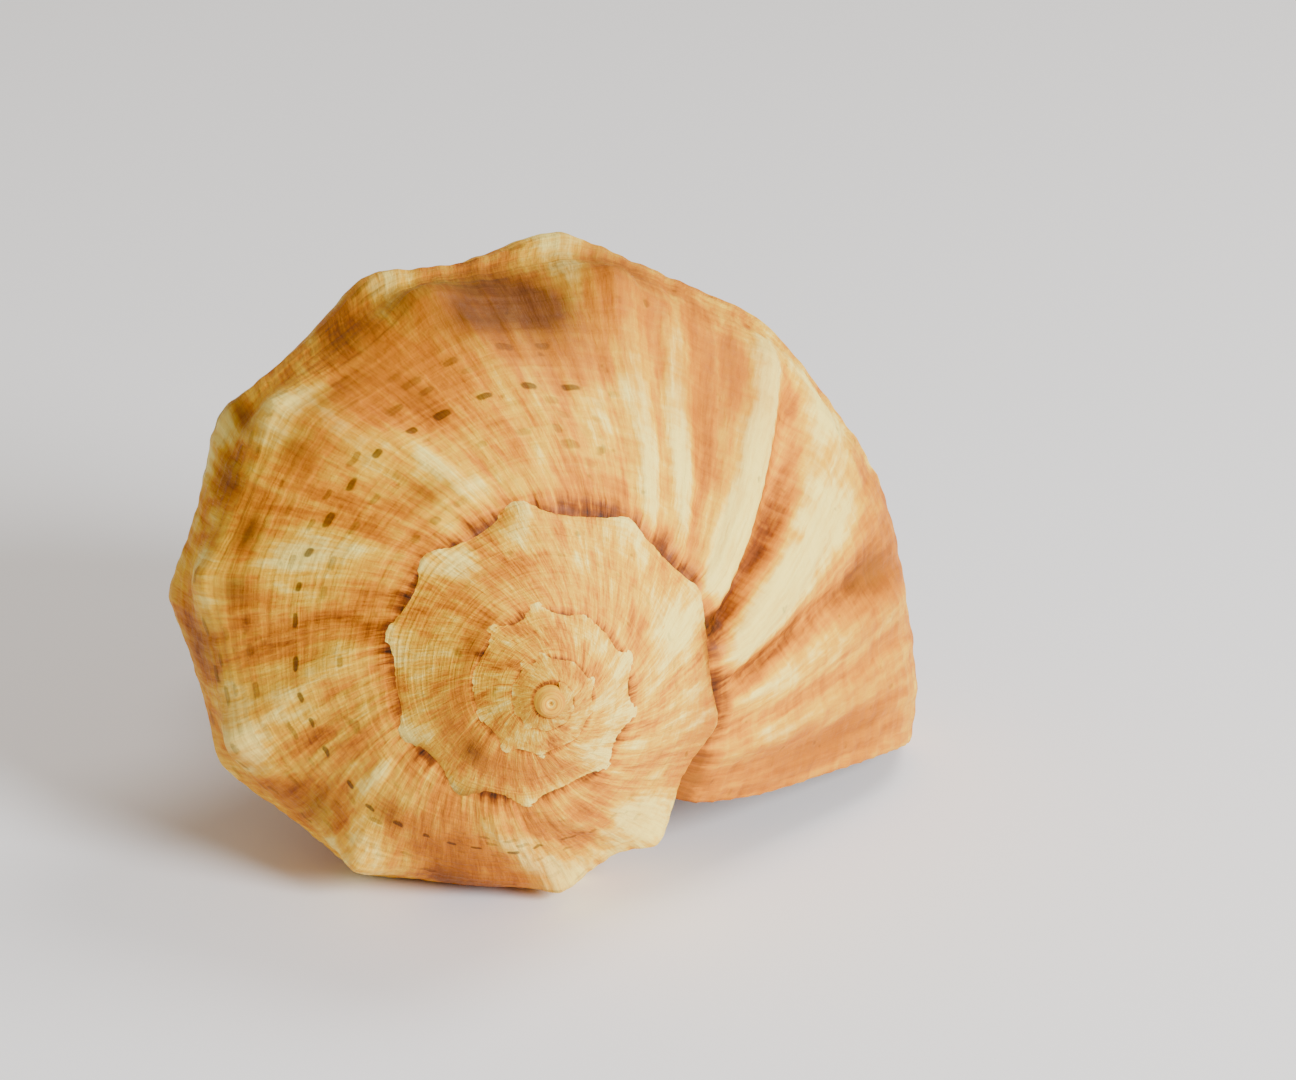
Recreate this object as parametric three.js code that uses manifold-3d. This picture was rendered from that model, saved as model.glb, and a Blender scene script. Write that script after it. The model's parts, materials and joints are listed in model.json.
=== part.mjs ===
// Knobbed whelk-type shell, empty, lying on its aperture with the spire toward -Y.
// Units are millimetres, +Z is up, and the origin is the middle of the footprint on the table.
//
// The shell is grown by a law. A growth line is drawn in the (r, z) half plane at the size it has
// at the lip, and sweeping it round the axis while it shrinks draws every whorl. Time along the
// spiral is counted in turns: 0 is the lip, -1 is one whorl earlier, and so on up to the apex.

import * as THREE from 'three';
import Module from 'manifold-3d';

const wasm = await Module();
wasm.setup();

// Growth: the logarithm of size is RATE * turns plus a late speeding-up near the lip.
const RATE = 0.63;
const LATE_GAIN = 0.3;
const LATE_RATE = 1.1;
const LIP_ANGLE = THREE.MathUtils.degToRad(-41);
const SIZE_ROUNDS = 24;

// The growth line at the lip, from the hidden start inside the last whorl over suture, ramp,
// shoulder, side and base to the canal. The third value is how far the line lags, in turns.
const GROWTH_LINE = [
  [9.0, -22.5, 0.008],
  [18.5, -23.5, 0.004],
  [25.0, -23.5, 0.0],
  [33.0, -29.5, -0.022],
  [42.0, -38.5, -0.043],
  [49.5, -46.5, -0.056],
  [54.0, -53.0, -0.062],
  [56.5, -61.0, -0.063],
  [57.5, -68.5, -0.06],
  [54.5, -79.0, -0.06],
  [46.5, -89.5, -0.055],
  [35.0, -98.5, -0.042],
  [25.0, -105.5, -0.026],
  [18.0, -109.5, -0.012],
  [12.0, -110.0, -0.004],
  [6.0, -106.0, 0.0],
  [2.0, -101.0, 0.0],
];
const SHOULDER = 6;
const AXIS_GAP = 1;
const AXIS_MIDDLE_HEIGHT = -30;
const NORMAL_STEP = 0.002;

// Knobs: places of the shoulder row on the last whorl in turns, and their heights at full size.
const KNOB_TURNS = [-0.906, -0.834, -0.701, -0.598, -0.509, -0.42, -0.331, -0.248, -0.16];
const KNOB_HEIGHTS = [3.6, 2.6, 2.4, 2.6, 2.6, 2.6, 2.8, 2.6, 1.0];
const EARLY_KNOBS = 34;
const EARLY_KNOB_STEP = 0.1;
const EARLY_KNOB_HEIGHT = 2.2;
const EARLY_KNOB_JITTER = 0.008;
const JITTER_RATE = 2.3;
const KNOB_HALF_WIDTH = 0.019;
const KNOB_LAG_PER_ROW = 0.009;
const KNOB_LAG_ROWS = 3;
const KNOB_ROWS = [
  { row: 6.0, reach: 0.75, share: 1.0 },
  { row: 8.2, reach: 0.6, share: 1.0 },
  { row: 9.4, reach: 0.45, share: 0.4 },
  { row: 10.4, reach: 0.45, share: 0.3 },
  { row: 4.3, reach: 1.2, share: 0.22 },
];

// Growth folds across the ramp near the lip: turns at the suture, lean per row, depth, half width.
const FOLDS = [
  { turn: -0.168, lean: -0.001, height: 0.9, width: 0.013 },
  { turn: -0.138, lean: -0.006, height: -1.3, width: 0.01 },
  { turn: -0.113, lean: -0.003, height: 1.0, width: 0.011 },
  { turn: -0.092, lean: 0.006, height: -0.7, width: 0.009 },
];
const FOLD_ROOT_ROW = 2.4;
const FOLDS_FROM_ROW = 1.8;
const FOLDS_FULL_AFTER = 0.8;
const FOLDS_TO_ROW = 6.8;
const FOLDS_FADE_OVER = 1.5;

// Lip: flare of the last third of a turn over the side's rows, and the drawn-out corner.
const FLARE_START = -0.36;
const FLARE = 0.045;
const FLARE_FROM_ROW = 2.5;
const FLARE_FULL_AFTER = 4;
const FLARE_TO_ROW = 15;
const FLARE_FADE_OVER = 5;
const CORNER_START = -0.05;
const CORNER = 0.03;
const CORNER_ROW = 6.6;
const CORNER_REACH = 1.6;

// The narrower stretch at the front of the last whorl.
const FRONT_TURN = -0.8;
const FRONT_WIDTH = 0.09;
const FRONT_NARROWING = 0.045;
const FRONT_FROM_ROW = 3;
const FRONT_FULL_AFTER = 2;

// Walls, and the living chamber: how deep it goes and how far its cutter runs past the lip.
const WALL = 2.6;
const LIP_WALL = 1.4;
const LIP_THINNING_START = -0.12;
const CHAMBER_START = -0.95;
const CHAMBER_END = 0.06;
const PARTING_WALL = 1.9;

// Siphonal canal: a round groove beside the column, cut from the chamber out through the tip.
const CANAL_RADIUS = 4.6;
const CANAL_RADIUS_INSIDE = 5.4;
const CANAL_OFF_AXIS = 13.8;
const CANAL_OFF_AXIS_INSIDE = 17.2;
const CANAL_TURN = 0.02;
const CANAL_FROM = 84;
const CANAL_TO = 122;
const CANAL_SIDES = 24;

// Columella: its radius grows with depth, rounds off at the end, and the end bends sideways.
const COLUMN_START = 3;
const COLUMN_END = 110.5;
const COLUMN_RADIUS = 9.2;
const COLUMN_SLOPE = 0.19;
const COLUMN_ROUND_FROM = 96;
const COLUMN_ROUND_TO = 111;
const COLUMN_BEND = 1.8;
const COLUMN_BEND_FROM = 50;
const COLUMN_BEND_OVER = 60;
const COLUMN_RINGS = 36;
const COLUMN_EVENNESS = 0.35;
const COLUMN_SIDES = 40;
const BEND_ANGLE = THREE.MathUtils.degToRad(-130);

// Old canal ends wind round the columella as a keel with a groove behind it; angles in radians.
const KEEL_HEIGHT = 3.2;
const KEEL_WIDTH = 0.42;
const KEEL_LEAD = Math.PI / 2;
const GROOVE_DEPTH = 1.7;
const GROOVE_OFFSET = -0.95;
const GROOVE_WIDTH = 0.36;
const KEEL_FIRST_TURN = -0.72;
const KEEL_FADE_IN = 0.14;
const KEEL_FADE_OUT = 0.1;

// Inner lip: the columella swells on the side of the aperture.
const INNER_LIP_HEIGHT = 2.4;
const INNER_LIP_ANGLE = THREE.MathUtils.degToRad(-52);
const INNER_LIP_WIDTH = 0.62;
const INNER_LIP_FROM = 44;
const INNER_LIP_FULL_AFTER = 18;

// First whorls: a small rounded tip with a pit.
const TIP_RADIUS = 1.9;
const TIP_DEPTH = 2.5;

// How the shell lies: the axis leans from straight at the viewer, and the viewer looks down on it.
const AXIS_RIGHT = 0.205;
const AXIS_DOWN = -0.165;
const VIEW_ELEVATION = THREE.MathUtils.degToRad(20);
const REST_DEPTH = 31.85;
const SLAB_SIDE = 300;
const SLAB_HEIGHT = 40;
const SLAB_BACK = 50;

// Steps along each whorl, from the last one back to the tip, and rows along the growth line.
const PIECE = 0.53;
const WHORL_STEPS = [38, 36, 25, 24, 17, 16, 11, 10];
const ROWS = [
  0, 1, 2, 2.7, 3.4, 4.0, 4.6, 5.1, 5.6, 6.0, 6.5, 7.1, 7.7, 8.2, 8.7,
  9.2, 9.8, 10.4, 11.1, 11.8, 12.5, 13.2, 14, 15, 16,
];
const CHAMBER_STEPS = 46;
const CHAMBER_OUTER_ROWS = [3.9, 4.4, 4.9, 5.5, 6.1, 6.8, 7.6, 8.4, 9.2, 10.0, 10.8, 11.5];
const CHAMBER_INNER_ROWS = [11.0, 10.4, 9.8, 9.2, 8.6, 8.0];
const FACE_RECEDING = 3;
const COLUMN_FACE = [
  [16.5, -101.5],
  [12.2, -97],
  [11.2, -90],
  [11.0, -80],
  [12.0, -68],
];

const growthLine = new THREE.CatmullRomCurve3(
  GROWTH_LINE.map(([r, z, lag]) => new THREE.Vector3(r, z, lag)),
  false, 'catmullrom', 0.5,
);

function held(value) {
  return THREE.MathUtils.clamp(value, 0, 1);
}

function easeIn(value) {
  return THREE.MathUtils.smoothstep(value, 0, 1);
}

function bump(value, centre, halfWidth) {
  return Math.exp(-0.5 * ((value - centre) / halfWidth) ** 2);
}

function sizeAt(turn) {
  return Math.exp(RATE * turn + LATE_GAIN * (Math.exp(LATE_RATE * turn) - 1));
}

// Point of the growth line at a row, with its outward normal, both at lip size.
function lineAt(row) {
  const share = row / (GROWTH_LINE.length - 1);
  const point = growthLine.getPoint(share);
  const ahead = growthLine.getPoint(Math.min(share + NORMAL_STEP, 1));
  const behind = growthLine.getPoint(Math.max(share - NORMAL_STEP, 0));
  const along = new THREE.Vector2(ahead.x - behind.x, ahead.y - behind.y).normalize();
  return { r: point.x, z: point.y, lag: point.z, normalR: -along.y, normalZ: along.x };
}

// Widening of the lip, its corner, and the narrower stretch at the front of the last whorl.
function spreadAt(turn, row, lag) {
  const grown = easeIn((Math.min(turn, 0) - FLARE_START) / -FLARE_START);
  const rising = held((row - FLARE_FROM_ROW) / FLARE_FULL_AFTER);
  const onSide = rising * held((FLARE_TO_ROW - row) / FLARE_FADE_OVER);
  const atCorner = easeIn((Math.min(turn, 0) - CORNER_START) / -CORNER_START);
  const corner = atCorner * bump(row, CORNER_ROW, CORNER_REACH);
  const front = bump(turn + lag, FRONT_TURN, FRONT_WIDTH) * held((row - FRONT_FROM_ROW) / FRONT_FULL_AFTER);
  return (1 + FLARE * grown * onSide) * (1 + CORNER * corner) * (1 - FRONT_NARROWING * front);
}

const knobs = KNOB_TURNS.map((turn, index) => ({ turn, height: KNOB_HEIGHTS[index] }));
for (let index = 1; index < EARLY_KNOBS; index += 1) {
  const jitter = EARLY_KNOB_JITTER * Math.sin(index * JITTER_RATE);
  const turn = KNOB_TURNS[0] - EARLY_KNOB_STEP * index + jitter;
  knobs.push({ turn, height: EARLY_KNOB_HEIGHT });
}

// Height of knobs and folds over the plain growth line, at lip size.
function reliefAt(turn, row) {
  const back = KNOB_LAG_PER_ROW * THREE.MathUtils.clamp(row - SHOULDER, 0, KNOB_LAG_ROWS);
  const across = KNOB_ROWS.reduce((sum, k) => sum + k.share * bump(row, k.row, k.reach), 0);
  const along = knobs.reduce((sum, k) => sum + k.height * bump(turn + back, k.turn, KNOB_HALF_WIDTH), 0);
  const rising = easeIn((row - FOLDS_FROM_ROW) / FOLDS_FULL_AFTER);
  const onRamp = rising * easeIn((FOLDS_TO_ROW - row) / FOLDS_FADE_OVER);
  const folds = FOLDS.reduce(
    (sum, f) => sum + f.height * bump(turn, f.turn + f.lean * (row - FOLD_ROOT_ROW), f.width), 0,
  );
  return along * across + folds * onRamp;
}

function placed(r, z, turn) {
  const angle = LIP_ANGLE - 2 * Math.PI * turn;
  return new THREE.Vector3(r * Math.cos(angle), r * Math.sin(angle), z);
}

function outsidePoint(turn, row) {
  const line = lineAt(row);
  const size = sizeAt(turn + line.lag);
  const relief = reliefAt(turn, row);
  const r = line.r * spreadAt(turn, row, line.lag) + relief * line.normalR;
  const z = line.z + relief * line.normalZ;
  return placed(r * size, z * size, turn + line.lag);
}

// One closed section of the solid whorl: the growth line, closed along the axis.
function whorlSection(turn) {
  const section = ROWS.map((row) => outsidePoint(turn, row));
  const size = sizeAt(turn);
  section.push(placed(AXIS_GAP * size, GROWTH_LINE.at(-1)[1] * size, turn));
  section.push(placed(AXIS_GAP * size, AXIS_MIDDLE_HEIGHT * size, turn));
  section.push(placed(AXIS_GAP * size, GROWTH_LINE[0][1] * size, turn));
  return section;
}

function wallAt(turn) {
  const thinned = easeIn((turn - LIP_THINNING_START) / -LIP_THINNING_START);
  return WALL * Math.sqrt(Math.min(sizeAt(turn), 1)) * (1 - thinned) + LIP_WALL * thinned;
}

// One closed section of the living chamber: inside the wall, down to the canal, up the columella
// and round the outside of the whorl before.
function chamberSection(turn) {
  const size = sizeAt(turn);
  const wall = wallAt(turn);
  const section = CHAMBER_OUTER_ROWS.map((row) => {
    const line = lineAt(row);
    const here = sizeAt(turn + line.lag);
    const r = line.r * spreadAt(turn, row, line.lag) * here - wall * line.normalR;
    return placed(r, line.z * here - wall * line.normalZ, turn + line.lag);
  });
  const receding = 1 + FACE_RECEDING * Math.max(turn, 0);
  for (const [r, z] of COLUMN_FACE) {
    section.push(placed(r * size * receding, z * size, turn));
  }
  for (const row of CHAMBER_INNER_ROWS) {
    const line = lineAt(row);
    const before = sizeAt(turn - 1);
    const gap = PARTING_WALL * Math.sqrt(size);
    section.push(placed(line.r * before + gap * line.normalR, line.z * before + gap * line.normalZ, turn));
  }
  return section;
}

// Triangles that fill a closed section, all turning the way the section does.
function capCorners(section) {
  const outline = section.map((p) => new THREE.Vector2(Math.hypot(p.x, p.y), p.z));
  const outlineTurns = Math.sign(THREE.ShapeUtils.area(outline));
  return THREE.ShapeUtils.triangulateShape(outline, []).map((corners) => {
    const cornerTurns = Math.sign(THREE.ShapeUtils.area(corners.map((corner) => outline[corner])));
    return cornerTurns === outlineTurns ? corners : corners.toReversed();
  });
}

// Closed solid through a run of closed sections, with the first and last filled in.
function solidThrough(sections) {
  const count = sections[0].length;
  const positions = sections.flat().flatMap((p) => [p.x, p.y, p.z]);
  const faces = [];
  for (let step = 0; step < sections.length - 1; step += 1) {
    for (let index = 0; index < count; index += 1) {
      const next = (index + 1) % count;
      const a = step * count + index;
      const b = step * count + next;
      faces.push(a, a + count, b, b, a + count, b + count);
    }
  }
  for (const [a, b, c] of capCorners(sections[0])) {
    faces.push(a, b, c);
  }
  const last = (sections.length - 1) * count;
  for (const [a, b, c] of capCorners(sections.at(-1))) {
    faces.push(last + c, last + b, last + a);
  }
  return manifoldFrom(positions, faces);
}

function manifoldFrom(positions, faces) {
  const mesh = { numProp: 3, vertProperties: new Float32Array(positions), triVerts: new Uint32Array(faces) };
  const solid = new wasm.Manifold(new wasm.Mesh(mesh));
  if (solid.volume() > 0) {
    return solid;
  }
  const turned = [];
  for (let index = 0; index < faces.length; index += 3) {
    turned.push(faces[index], faces[index + 2], faces[index + 1]);
  }
  return manifoldFrom(positions, turned);
}

function solidBetween(from, to, steps, sectionAt) {
  const sections = [];
  for (let step = 0; step <= steps; step += 1) {
    sections.push(sectionAt(THREE.MathUtils.lerp(from, to, step / steps)));
  }
  return solidThrough(sections);
}

// Turn at which the shell had a given share of its size, by repeated substitution.
function turnOfSize(size) {
  let turn = Math.log(size) / RATE;
  for (let round = 0; round < SIZE_ROUNDS; round += 1) {
    turn = (Math.log(size) - LATE_GAIN * (Math.exp(LATE_RATE * turn) - 1)) / RATE;
  }
  return turn;
}

// Difference of two angles, brought into the half turn either way.
function apart(angle, other) {
  return THREE.MathUtils.euclideanModulo(angle - other + Math.PI, 2 * Math.PI) - Math.PI;
}

// Radius of the columella at a depth and an angle, with the keel, its groove and the inner lip.
function columnRadius(depth, angle) {
  const plain = COLUMN_RADIUS * Math.tanh((COLUMN_SLOPE * depth) / COLUMN_RADIUS);
  const past = Math.max(depth - COLUMN_ROUND_FROM, 0) / (COLUMN_ROUND_TO - COLUMN_ROUND_FROM);
  const turn = turnOfSize(Math.min(depth / COLUMN_END, 1));
  const shown = easeIn(-turn / KEEL_FADE_OUT) * easeIn((turn - KEEL_FIRST_TURN) / KEEL_FADE_IN);
  const fromKeel = apart(angle, LIP_ANGLE - 2 * Math.PI * turn + KEEL_LEAD);
  const keel = KEEL_HEIGHT * bump(fromKeel, 0, KEEL_WIDTH);
  const groove = GROOVE_DEPTH * bump(fromKeel, GROOVE_OFFSET, GROOVE_WIDTH);
  const beside = bump(apart(angle, INNER_LIP_ANGLE), 0, INNER_LIP_WIDTH);
  const innerLip = INNER_LIP_HEIGHT * beside * easeIn((depth - INNER_LIP_FROM) / INNER_LIP_FULL_AFTER);
  return (plain + shown * (keel - groove) + innerLip) * Math.sqrt(1 - past * past);
}

// Columella as a stack of rings, closer together toward its end.
function columnSolid() {
  const rings = [];
  for (let level = 0; level < COLUMN_RINGS; level += 1) {
    const share = level / (COLUMN_RINGS - 1);
    const reached = COLUMN_EVENNESS * share + (1 - COLUMN_EVENNESS) * Math.sin((Math.PI / 2) * share);
    const depth = THREE.MathUtils.lerp(COLUMN_START, COLUMN_END, reached);
    const bend = COLUMN_BEND * (Math.max(depth - COLUMN_BEND_FROM, 0) / COLUMN_BEND_OVER) ** 2;
    const ring = [];
    for (let side = 0; side < COLUMN_SIDES; side += 1) {
      const angle = (2 * Math.PI * side) / COLUMN_SIDES;
      const radius = columnRadius(depth, angle);
      const x = bend * Math.cos(BEND_ANGLE) + radius * Math.cos(angle);
      const y = bend * Math.sin(BEND_ANGLE) + radius * Math.sin(angle);
      ring.push(new THREE.Vector3(x, y, -depth));
    }
    rings.push(ring);
  }
  const positions = rings.flat().flatMap((p) => [p.x, p.y, p.z]);
  const faces = [];
  for (let level = 0; level < rings.length - 1; level += 1) {
    for (let side = 0; side < COLUMN_SIDES; side += 1) {
      const next = (side + 1) % COLUMN_SIDES;
      const a = level * COLUMN_SIDES + side;
      const b = level * COLUMN_SIDES + next;
      faces.push(a, a + COLUMN_SIDES, b, b, a + COLUMN_SIDES, b + COLUMN_SIDES);
    }
  }
  const last = (rings.length - 1) * COLUMN_SIDES;
  for (let side = 1; side < COLUMN_SIDES - 1; side += 1) {
    faces.push(0, side, side + 1);
    faces.push(last, last + side + 1, last + side);
  }
  return manifoldFrom(positions, faces);
}

function fromGeometry(geometry, move) {
  const moved = geometry.clone().applyMatrix4(move);
  const position = moved.getAttribute('position');
  const seen = new Map();
  const positions = [];
  const renumbered = [];
  for (let index = 0; index < position.count; index += 1) {
    const point = [position.getX(index), position.getY(index), position.getZ(index)];
    const key = point.map((value) => value.toFixed(5)).join(',');
    if (!seen.has(key)) {
      seen.set(key, positions.length / 3);
      positions.push(...point);
    }
    renumbered.push(seen.get(key));
  }
  const corners = moved.index ? Array.from(moved.index.array) : renumbered.map((_, index) => index);
  const faces = [];
  for (let index = 0; index < corners.length; index += 3) {
    const [a, b, c] = corners.slice(index, index + 3).map((corner) => renumbered[corner]);
    if (a !== b && b !== c && a !== c) {
      faces.push(a, b, c);
    }
  }
  return manifoldFrom(positions, faces);
}

// Tapered rod that leans from the chamber's wall to the columella's end.
function canalCutter() {
  const length = CANAL_TO - CANAL_FROM;
  const cutter = new THREE.CylinderGeometry(CANAL_RADIUS_INSIDE, CANAL_RADIUS, length, CANAL_SIDES);
  const inside = placed(CANAL_OFF_AXIS_INSIDE, -CANAL_FROM, CANAL_TURN);
  const outside = placed(CANAL_OFF_AXIS, -CANAL_TO, CANAL_TURN);
  const along = inside.clone().sub(outside).divideScalar(length);
  const leaning = new THREE.Matrix4().makeBasis(
    new THREE.Vector3(1, 0, 0), along, new THREE.Vector3(0, -1, 0),
  );
  return fromGeometry(cutter, leaning.setPosition(inside.lerp(outside, 0.5)));
}

// The shell's own frame laid into the object's frame: axis toward the viewer, viewer raised.
function lyingFrame() {
  const axis = new THREE.Vector3(AXIS_RIGHT, AXIS_DOWN, 0);
  axis.z = Math.sqrt(1 - axis.lengthSq());
  const right = new THREE.Vector3(1, 0, 0).addScaledVector(axis, -axis.x).normalize();
  const up = new THREE.Vector3().crossVectors(axis, right);
  const toViewer = new THREE.Matrix4().makeBasis(right, up, axis);
  const sine = Math.sin(VIEW_ELEVATION);
  const cosine = Math.cos(VIEW_ELEVATION);
  const toWorld = new THREE.Matrix4().set(
    1, 0, 0, 0,
    0, sine, -cosine, 0,
    0, cosine, sine, 0,
    0, 0, 0, 1,
  );
  return toWorld.multiply(toViewer);
}

function shellSolid() {
  let solid = columnSolid();
  WHORL_STEPS.forEach((steps, piece) => {
    solid = solid.add(solidBetween(-PIECE * (piece + 1), -PIECE * piece, steps, whorlSection));
  });
  const tip = new THREE.SphereGeometry(TIP_RADIUS, 14, 9);
  solid = solid.add(fromGeometry(tip, new THREE.Matrix4().makeTranslation(0, 0, -TIP_DEPTH)));
  const early = (CHAMBER_START + CHAMBER_END) / 2;
  const half = CHAMBER_STEPS / 2;
  const chamber = solidBetween(CHAMBER_START, early, half, chamberSection)
    .add(solidBetween(early, CHAMBER_END, half, chamberSection));
  return solid.subtract(chamber).subtract(canalCutter());
}

// The worn places that the shell stands on: a flat cut just above its lowest points.
function cutToRest(solid) {
  const slab = new THREE.BoxGeometry(SLAB_SIDE, SLAB_SIDE, SLAB_HEIGHT);
  const below = new THREE.Matrix4().makeTranslation(0, SLAB_BACK, -REST_DEPTH - SLAB_HEIGHT / 2);
  return solid.subtract(fromGeometry(slab, below));
}

function shellGeometry() {
  const lying = shellSolid().transform(lyingFrame().elements);
  const mesh = cutToRest(lying).getMesh();
  const geometry = new THREE.BufferGeometry();
  geometry.setAttribute('position', new THREE.BufferAttribute(Float32Array.from(mesh.vertProperties), 3));
  geometry.setIndex(new THREE.BufferAttribute(Uint32Array.from(mesh.triVerts), 1));
  geometry.computeBoundingBox();
  const box = geometry.boundingBox;
  const middle = box.getCenter(new THREE.Vector3());
  geometry.translate(-middle.x, -middle.y, -box.min.z);
  geometry.computeVertexNormals();
  return geometry;
}

const shellMaterial = new THREE.MeshStandardMaterial({
  color: new THREE.Color().setRGB(0.74, 0.55, 0.33, THREE.SRGBColorSpace),
  roughness: 0.45,
  metalness: 0,
});

const shell = new THREE.Mesh(shellGeometry(), shellMaterial);
shell.name = 'shell';

const whelk = new THREE.Group();
whelk.add(shell);

export default whelk;
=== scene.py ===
"""Knobbed whelk shell lying on its aperture, with its finish, a plain floor and soft light."""

import json
import math

import bpy
import numpy as np
from bpy.props import FloatProperty, FloatVectorProperty, PointerProperty
from mathutils import Matrix, Vector

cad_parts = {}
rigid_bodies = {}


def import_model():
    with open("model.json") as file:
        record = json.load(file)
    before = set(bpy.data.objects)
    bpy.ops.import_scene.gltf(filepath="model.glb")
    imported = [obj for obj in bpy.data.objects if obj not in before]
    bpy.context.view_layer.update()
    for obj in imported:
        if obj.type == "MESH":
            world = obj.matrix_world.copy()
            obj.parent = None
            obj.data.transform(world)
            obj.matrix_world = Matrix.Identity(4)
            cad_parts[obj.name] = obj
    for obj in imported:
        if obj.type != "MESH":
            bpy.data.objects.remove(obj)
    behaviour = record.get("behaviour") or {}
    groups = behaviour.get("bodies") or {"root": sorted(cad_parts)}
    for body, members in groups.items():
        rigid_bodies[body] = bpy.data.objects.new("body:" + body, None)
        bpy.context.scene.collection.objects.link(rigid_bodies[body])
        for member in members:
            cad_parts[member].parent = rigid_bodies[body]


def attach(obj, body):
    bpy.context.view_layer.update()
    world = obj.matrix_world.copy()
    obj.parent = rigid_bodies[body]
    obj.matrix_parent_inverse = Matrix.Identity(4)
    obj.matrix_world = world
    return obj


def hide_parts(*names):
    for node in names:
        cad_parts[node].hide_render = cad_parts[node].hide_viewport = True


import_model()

bl_info = {
    "name": "Whelk Shell",
    "version": (1, 0, 0),
    "blender": (4, 5, 0),
    "location": "View3D > Sidebar > Whelk Shell",
    "description": "Grows a knobbed whelk shell from its growth line and finishes its surface",
    "category": "Add Mesh",
}

MM = 0.001

# Growth, as in the solid: size against turns, and the angle at which the lip stands.
RATE = 0.63
LATE_GAIN = 0.3
LATE_RATE = 1.1
LIP_ANGLE = math.radians(-41)

# The growth line at the lip, in millimetres: distance from the axis, height, and lag in turns.
GROWTH_LINE = np.array([
    (9.0, -22.5, 0.008),
    (18.5, -23.5, 0.004),
    (25.0, -23.5, 0.0),
    (33.0, -29.5, -0.022),
    (42.0, -38.5, -0.043),
    (49.5, -46.5, -0.056),
    (54.0, -53.0, -0.062),
    (56.5, -61.0, -0.063),
    (57.5, -68.5, -0.06),
    (54.5, -79.0, -0.06),
    (46.5, -89.5, -0.055),
    (35.0, -98.5, -0.042),
    (25.0, -105.5, -0.026),
    (18.0, -109.5, -0.012),
    (12.0, -110.0, -0.004),
    (6.0, -106.0, 0.0),
    (2.0, -101.0, 0.0),
])
LAST_ROW = len(GROWTH_LINE) - 1
SUTURE = 2.0
SHOULDER = 6.0
NORMAL_STEP = 0.03
ARC_SAMPLES = 1601

# Points of a whorl's section next to the axis: distance from it, and heights.
AXIS_GAP = 1.0
INNER_HEIGHTS = np.array([GROWTH_LINE[-1, 1], -60.0, -30.0, GROWTH_LINE[0, 1]])

# Knobs of the last whorl: place in turns and height at full size, then those of earlier whorls.
KNOB_TURNS = (-0.906, -0.834, -0.701, -0.598, -0.509, -0.42, -0.331, -0.248, -0.16)
KNOB_HEIGHTS = (3.6, 2.6, 2.4, 2.6, 2.6, 2.6, 2.8, 2.6, 1.0)
EARLY_KNOBS = 34
EARLY_KNOB_STEP = 0.1
EARLY_KNOB_HEIGHT = 2.2
EARLY_KNOB_JITTER = 0.008
JITTER_PHASE_STEP = 2.3
KNOB_HALF_WIDTH = 0.019

# Lower rows of knobs stand behind the shoulder's: lag in turns per row, and rows that it covers.
LOWER_KNOB_LAG = 0.009
LOWER_KNOB_ROWS = 3

# Peaks on top of the knobs: share of the knob's height, half width in turns, reach in rows, and
# the rows that have them with their shares.
PEAK_SHARE = 0.42
PEAK_HALF_WIDTH = 0.0085
PEAK_REACH = 0.34
PEAK_ROWS = ((6.0, 1.0), (8.2, 0.8))

# Rows of knobs along the growth line: row, reach in rows, share of the height.
KNOB_ROWS = (
    (6.0, 0.75, 1.0),
    (8.2, 0.6, 1.0),
    (9.4, 0.45, 0.4),
    (10.4, 0.45, 0.3),
    (4.3, 1.2, 0.22),
)

# Growth folds on the ramp: turn at the suture, lean per row, height, half width in turns.
FOLDS = (
    (-0.168, -0.001, 0.9, 0.013),
    (-0.138, -0.006, -1.3, 0.01),
    (-0.113, -0.003, 1.0, 0.011),
    (-0.092, 0.006, -0.7, 0.009),
)
FINE_FOLDS = (
    (-0.2, -0.002, -0.5, 0.004),
    (-0.212, -0.002, 0.45, 0.005),
    (-0.229, -0.001, -0.4, 0.004),
    (-0.243, -0.001, 0.4, 0.005),
    (-0.262, 0.0, -0.4, 0.004),
    (-0.072, 0.005, 0.5, 0.006),
    (-0.055, 0.004, -0.5, 0.005),
    (-0.038, 0.004, 0.5, 0.005),
    (-0.022, 0.003, -0.4, 0.004),
    (-0.154, -0.005, 0.7, 0.005),
    (-0.138, -0.006, -1.3, 0.006),
    (-0.122, -0.004, 1.0, 0.006),
    (-0.09, 0.006, -0.9, 0.005),
    (-0.172, -0.001, 0.8, 0.005),
)

# Row at which a fold's place is given, and the rows over which folds fade in and out.
FOLD_ROW = 2.4
FOLD_FADE_IN = (1.8, 2.6)
FOLD_FADE_OUT = (6.8, 5.3)

# Low ribs that run from the knobs up the ramp: lean per row, height, half width in turns.
RIB_LEAN = -0.009
RIB_HEIGHT = 0.8
RIB_HALF_WIDTH = 0.0095
RIB_FADE_IN = (2.2, 3.1)
RIB_FADE_OUT = (7.2, 5.6)

# Lip flare and corner, and the narrower stretch at the front of the last whorl, in turns and
# rows.
FLARE_START = -0.36
FLARE = 0.045
FLARE_RISE = (2.5, 6.5)
FLARE_FALL = (15.0, 10.0)
CORNER_START = -0.05
CORNER = 0.03
CORNER_ROW = 6.6
CORNER_REACH = 1.6
FRONT_TURN = -0.8
FRONT_HALF_WIDTH = 0.09
FRONT_RISE = (3.0, 5.0)
FRONT_NARROWING = 0.045

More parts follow.
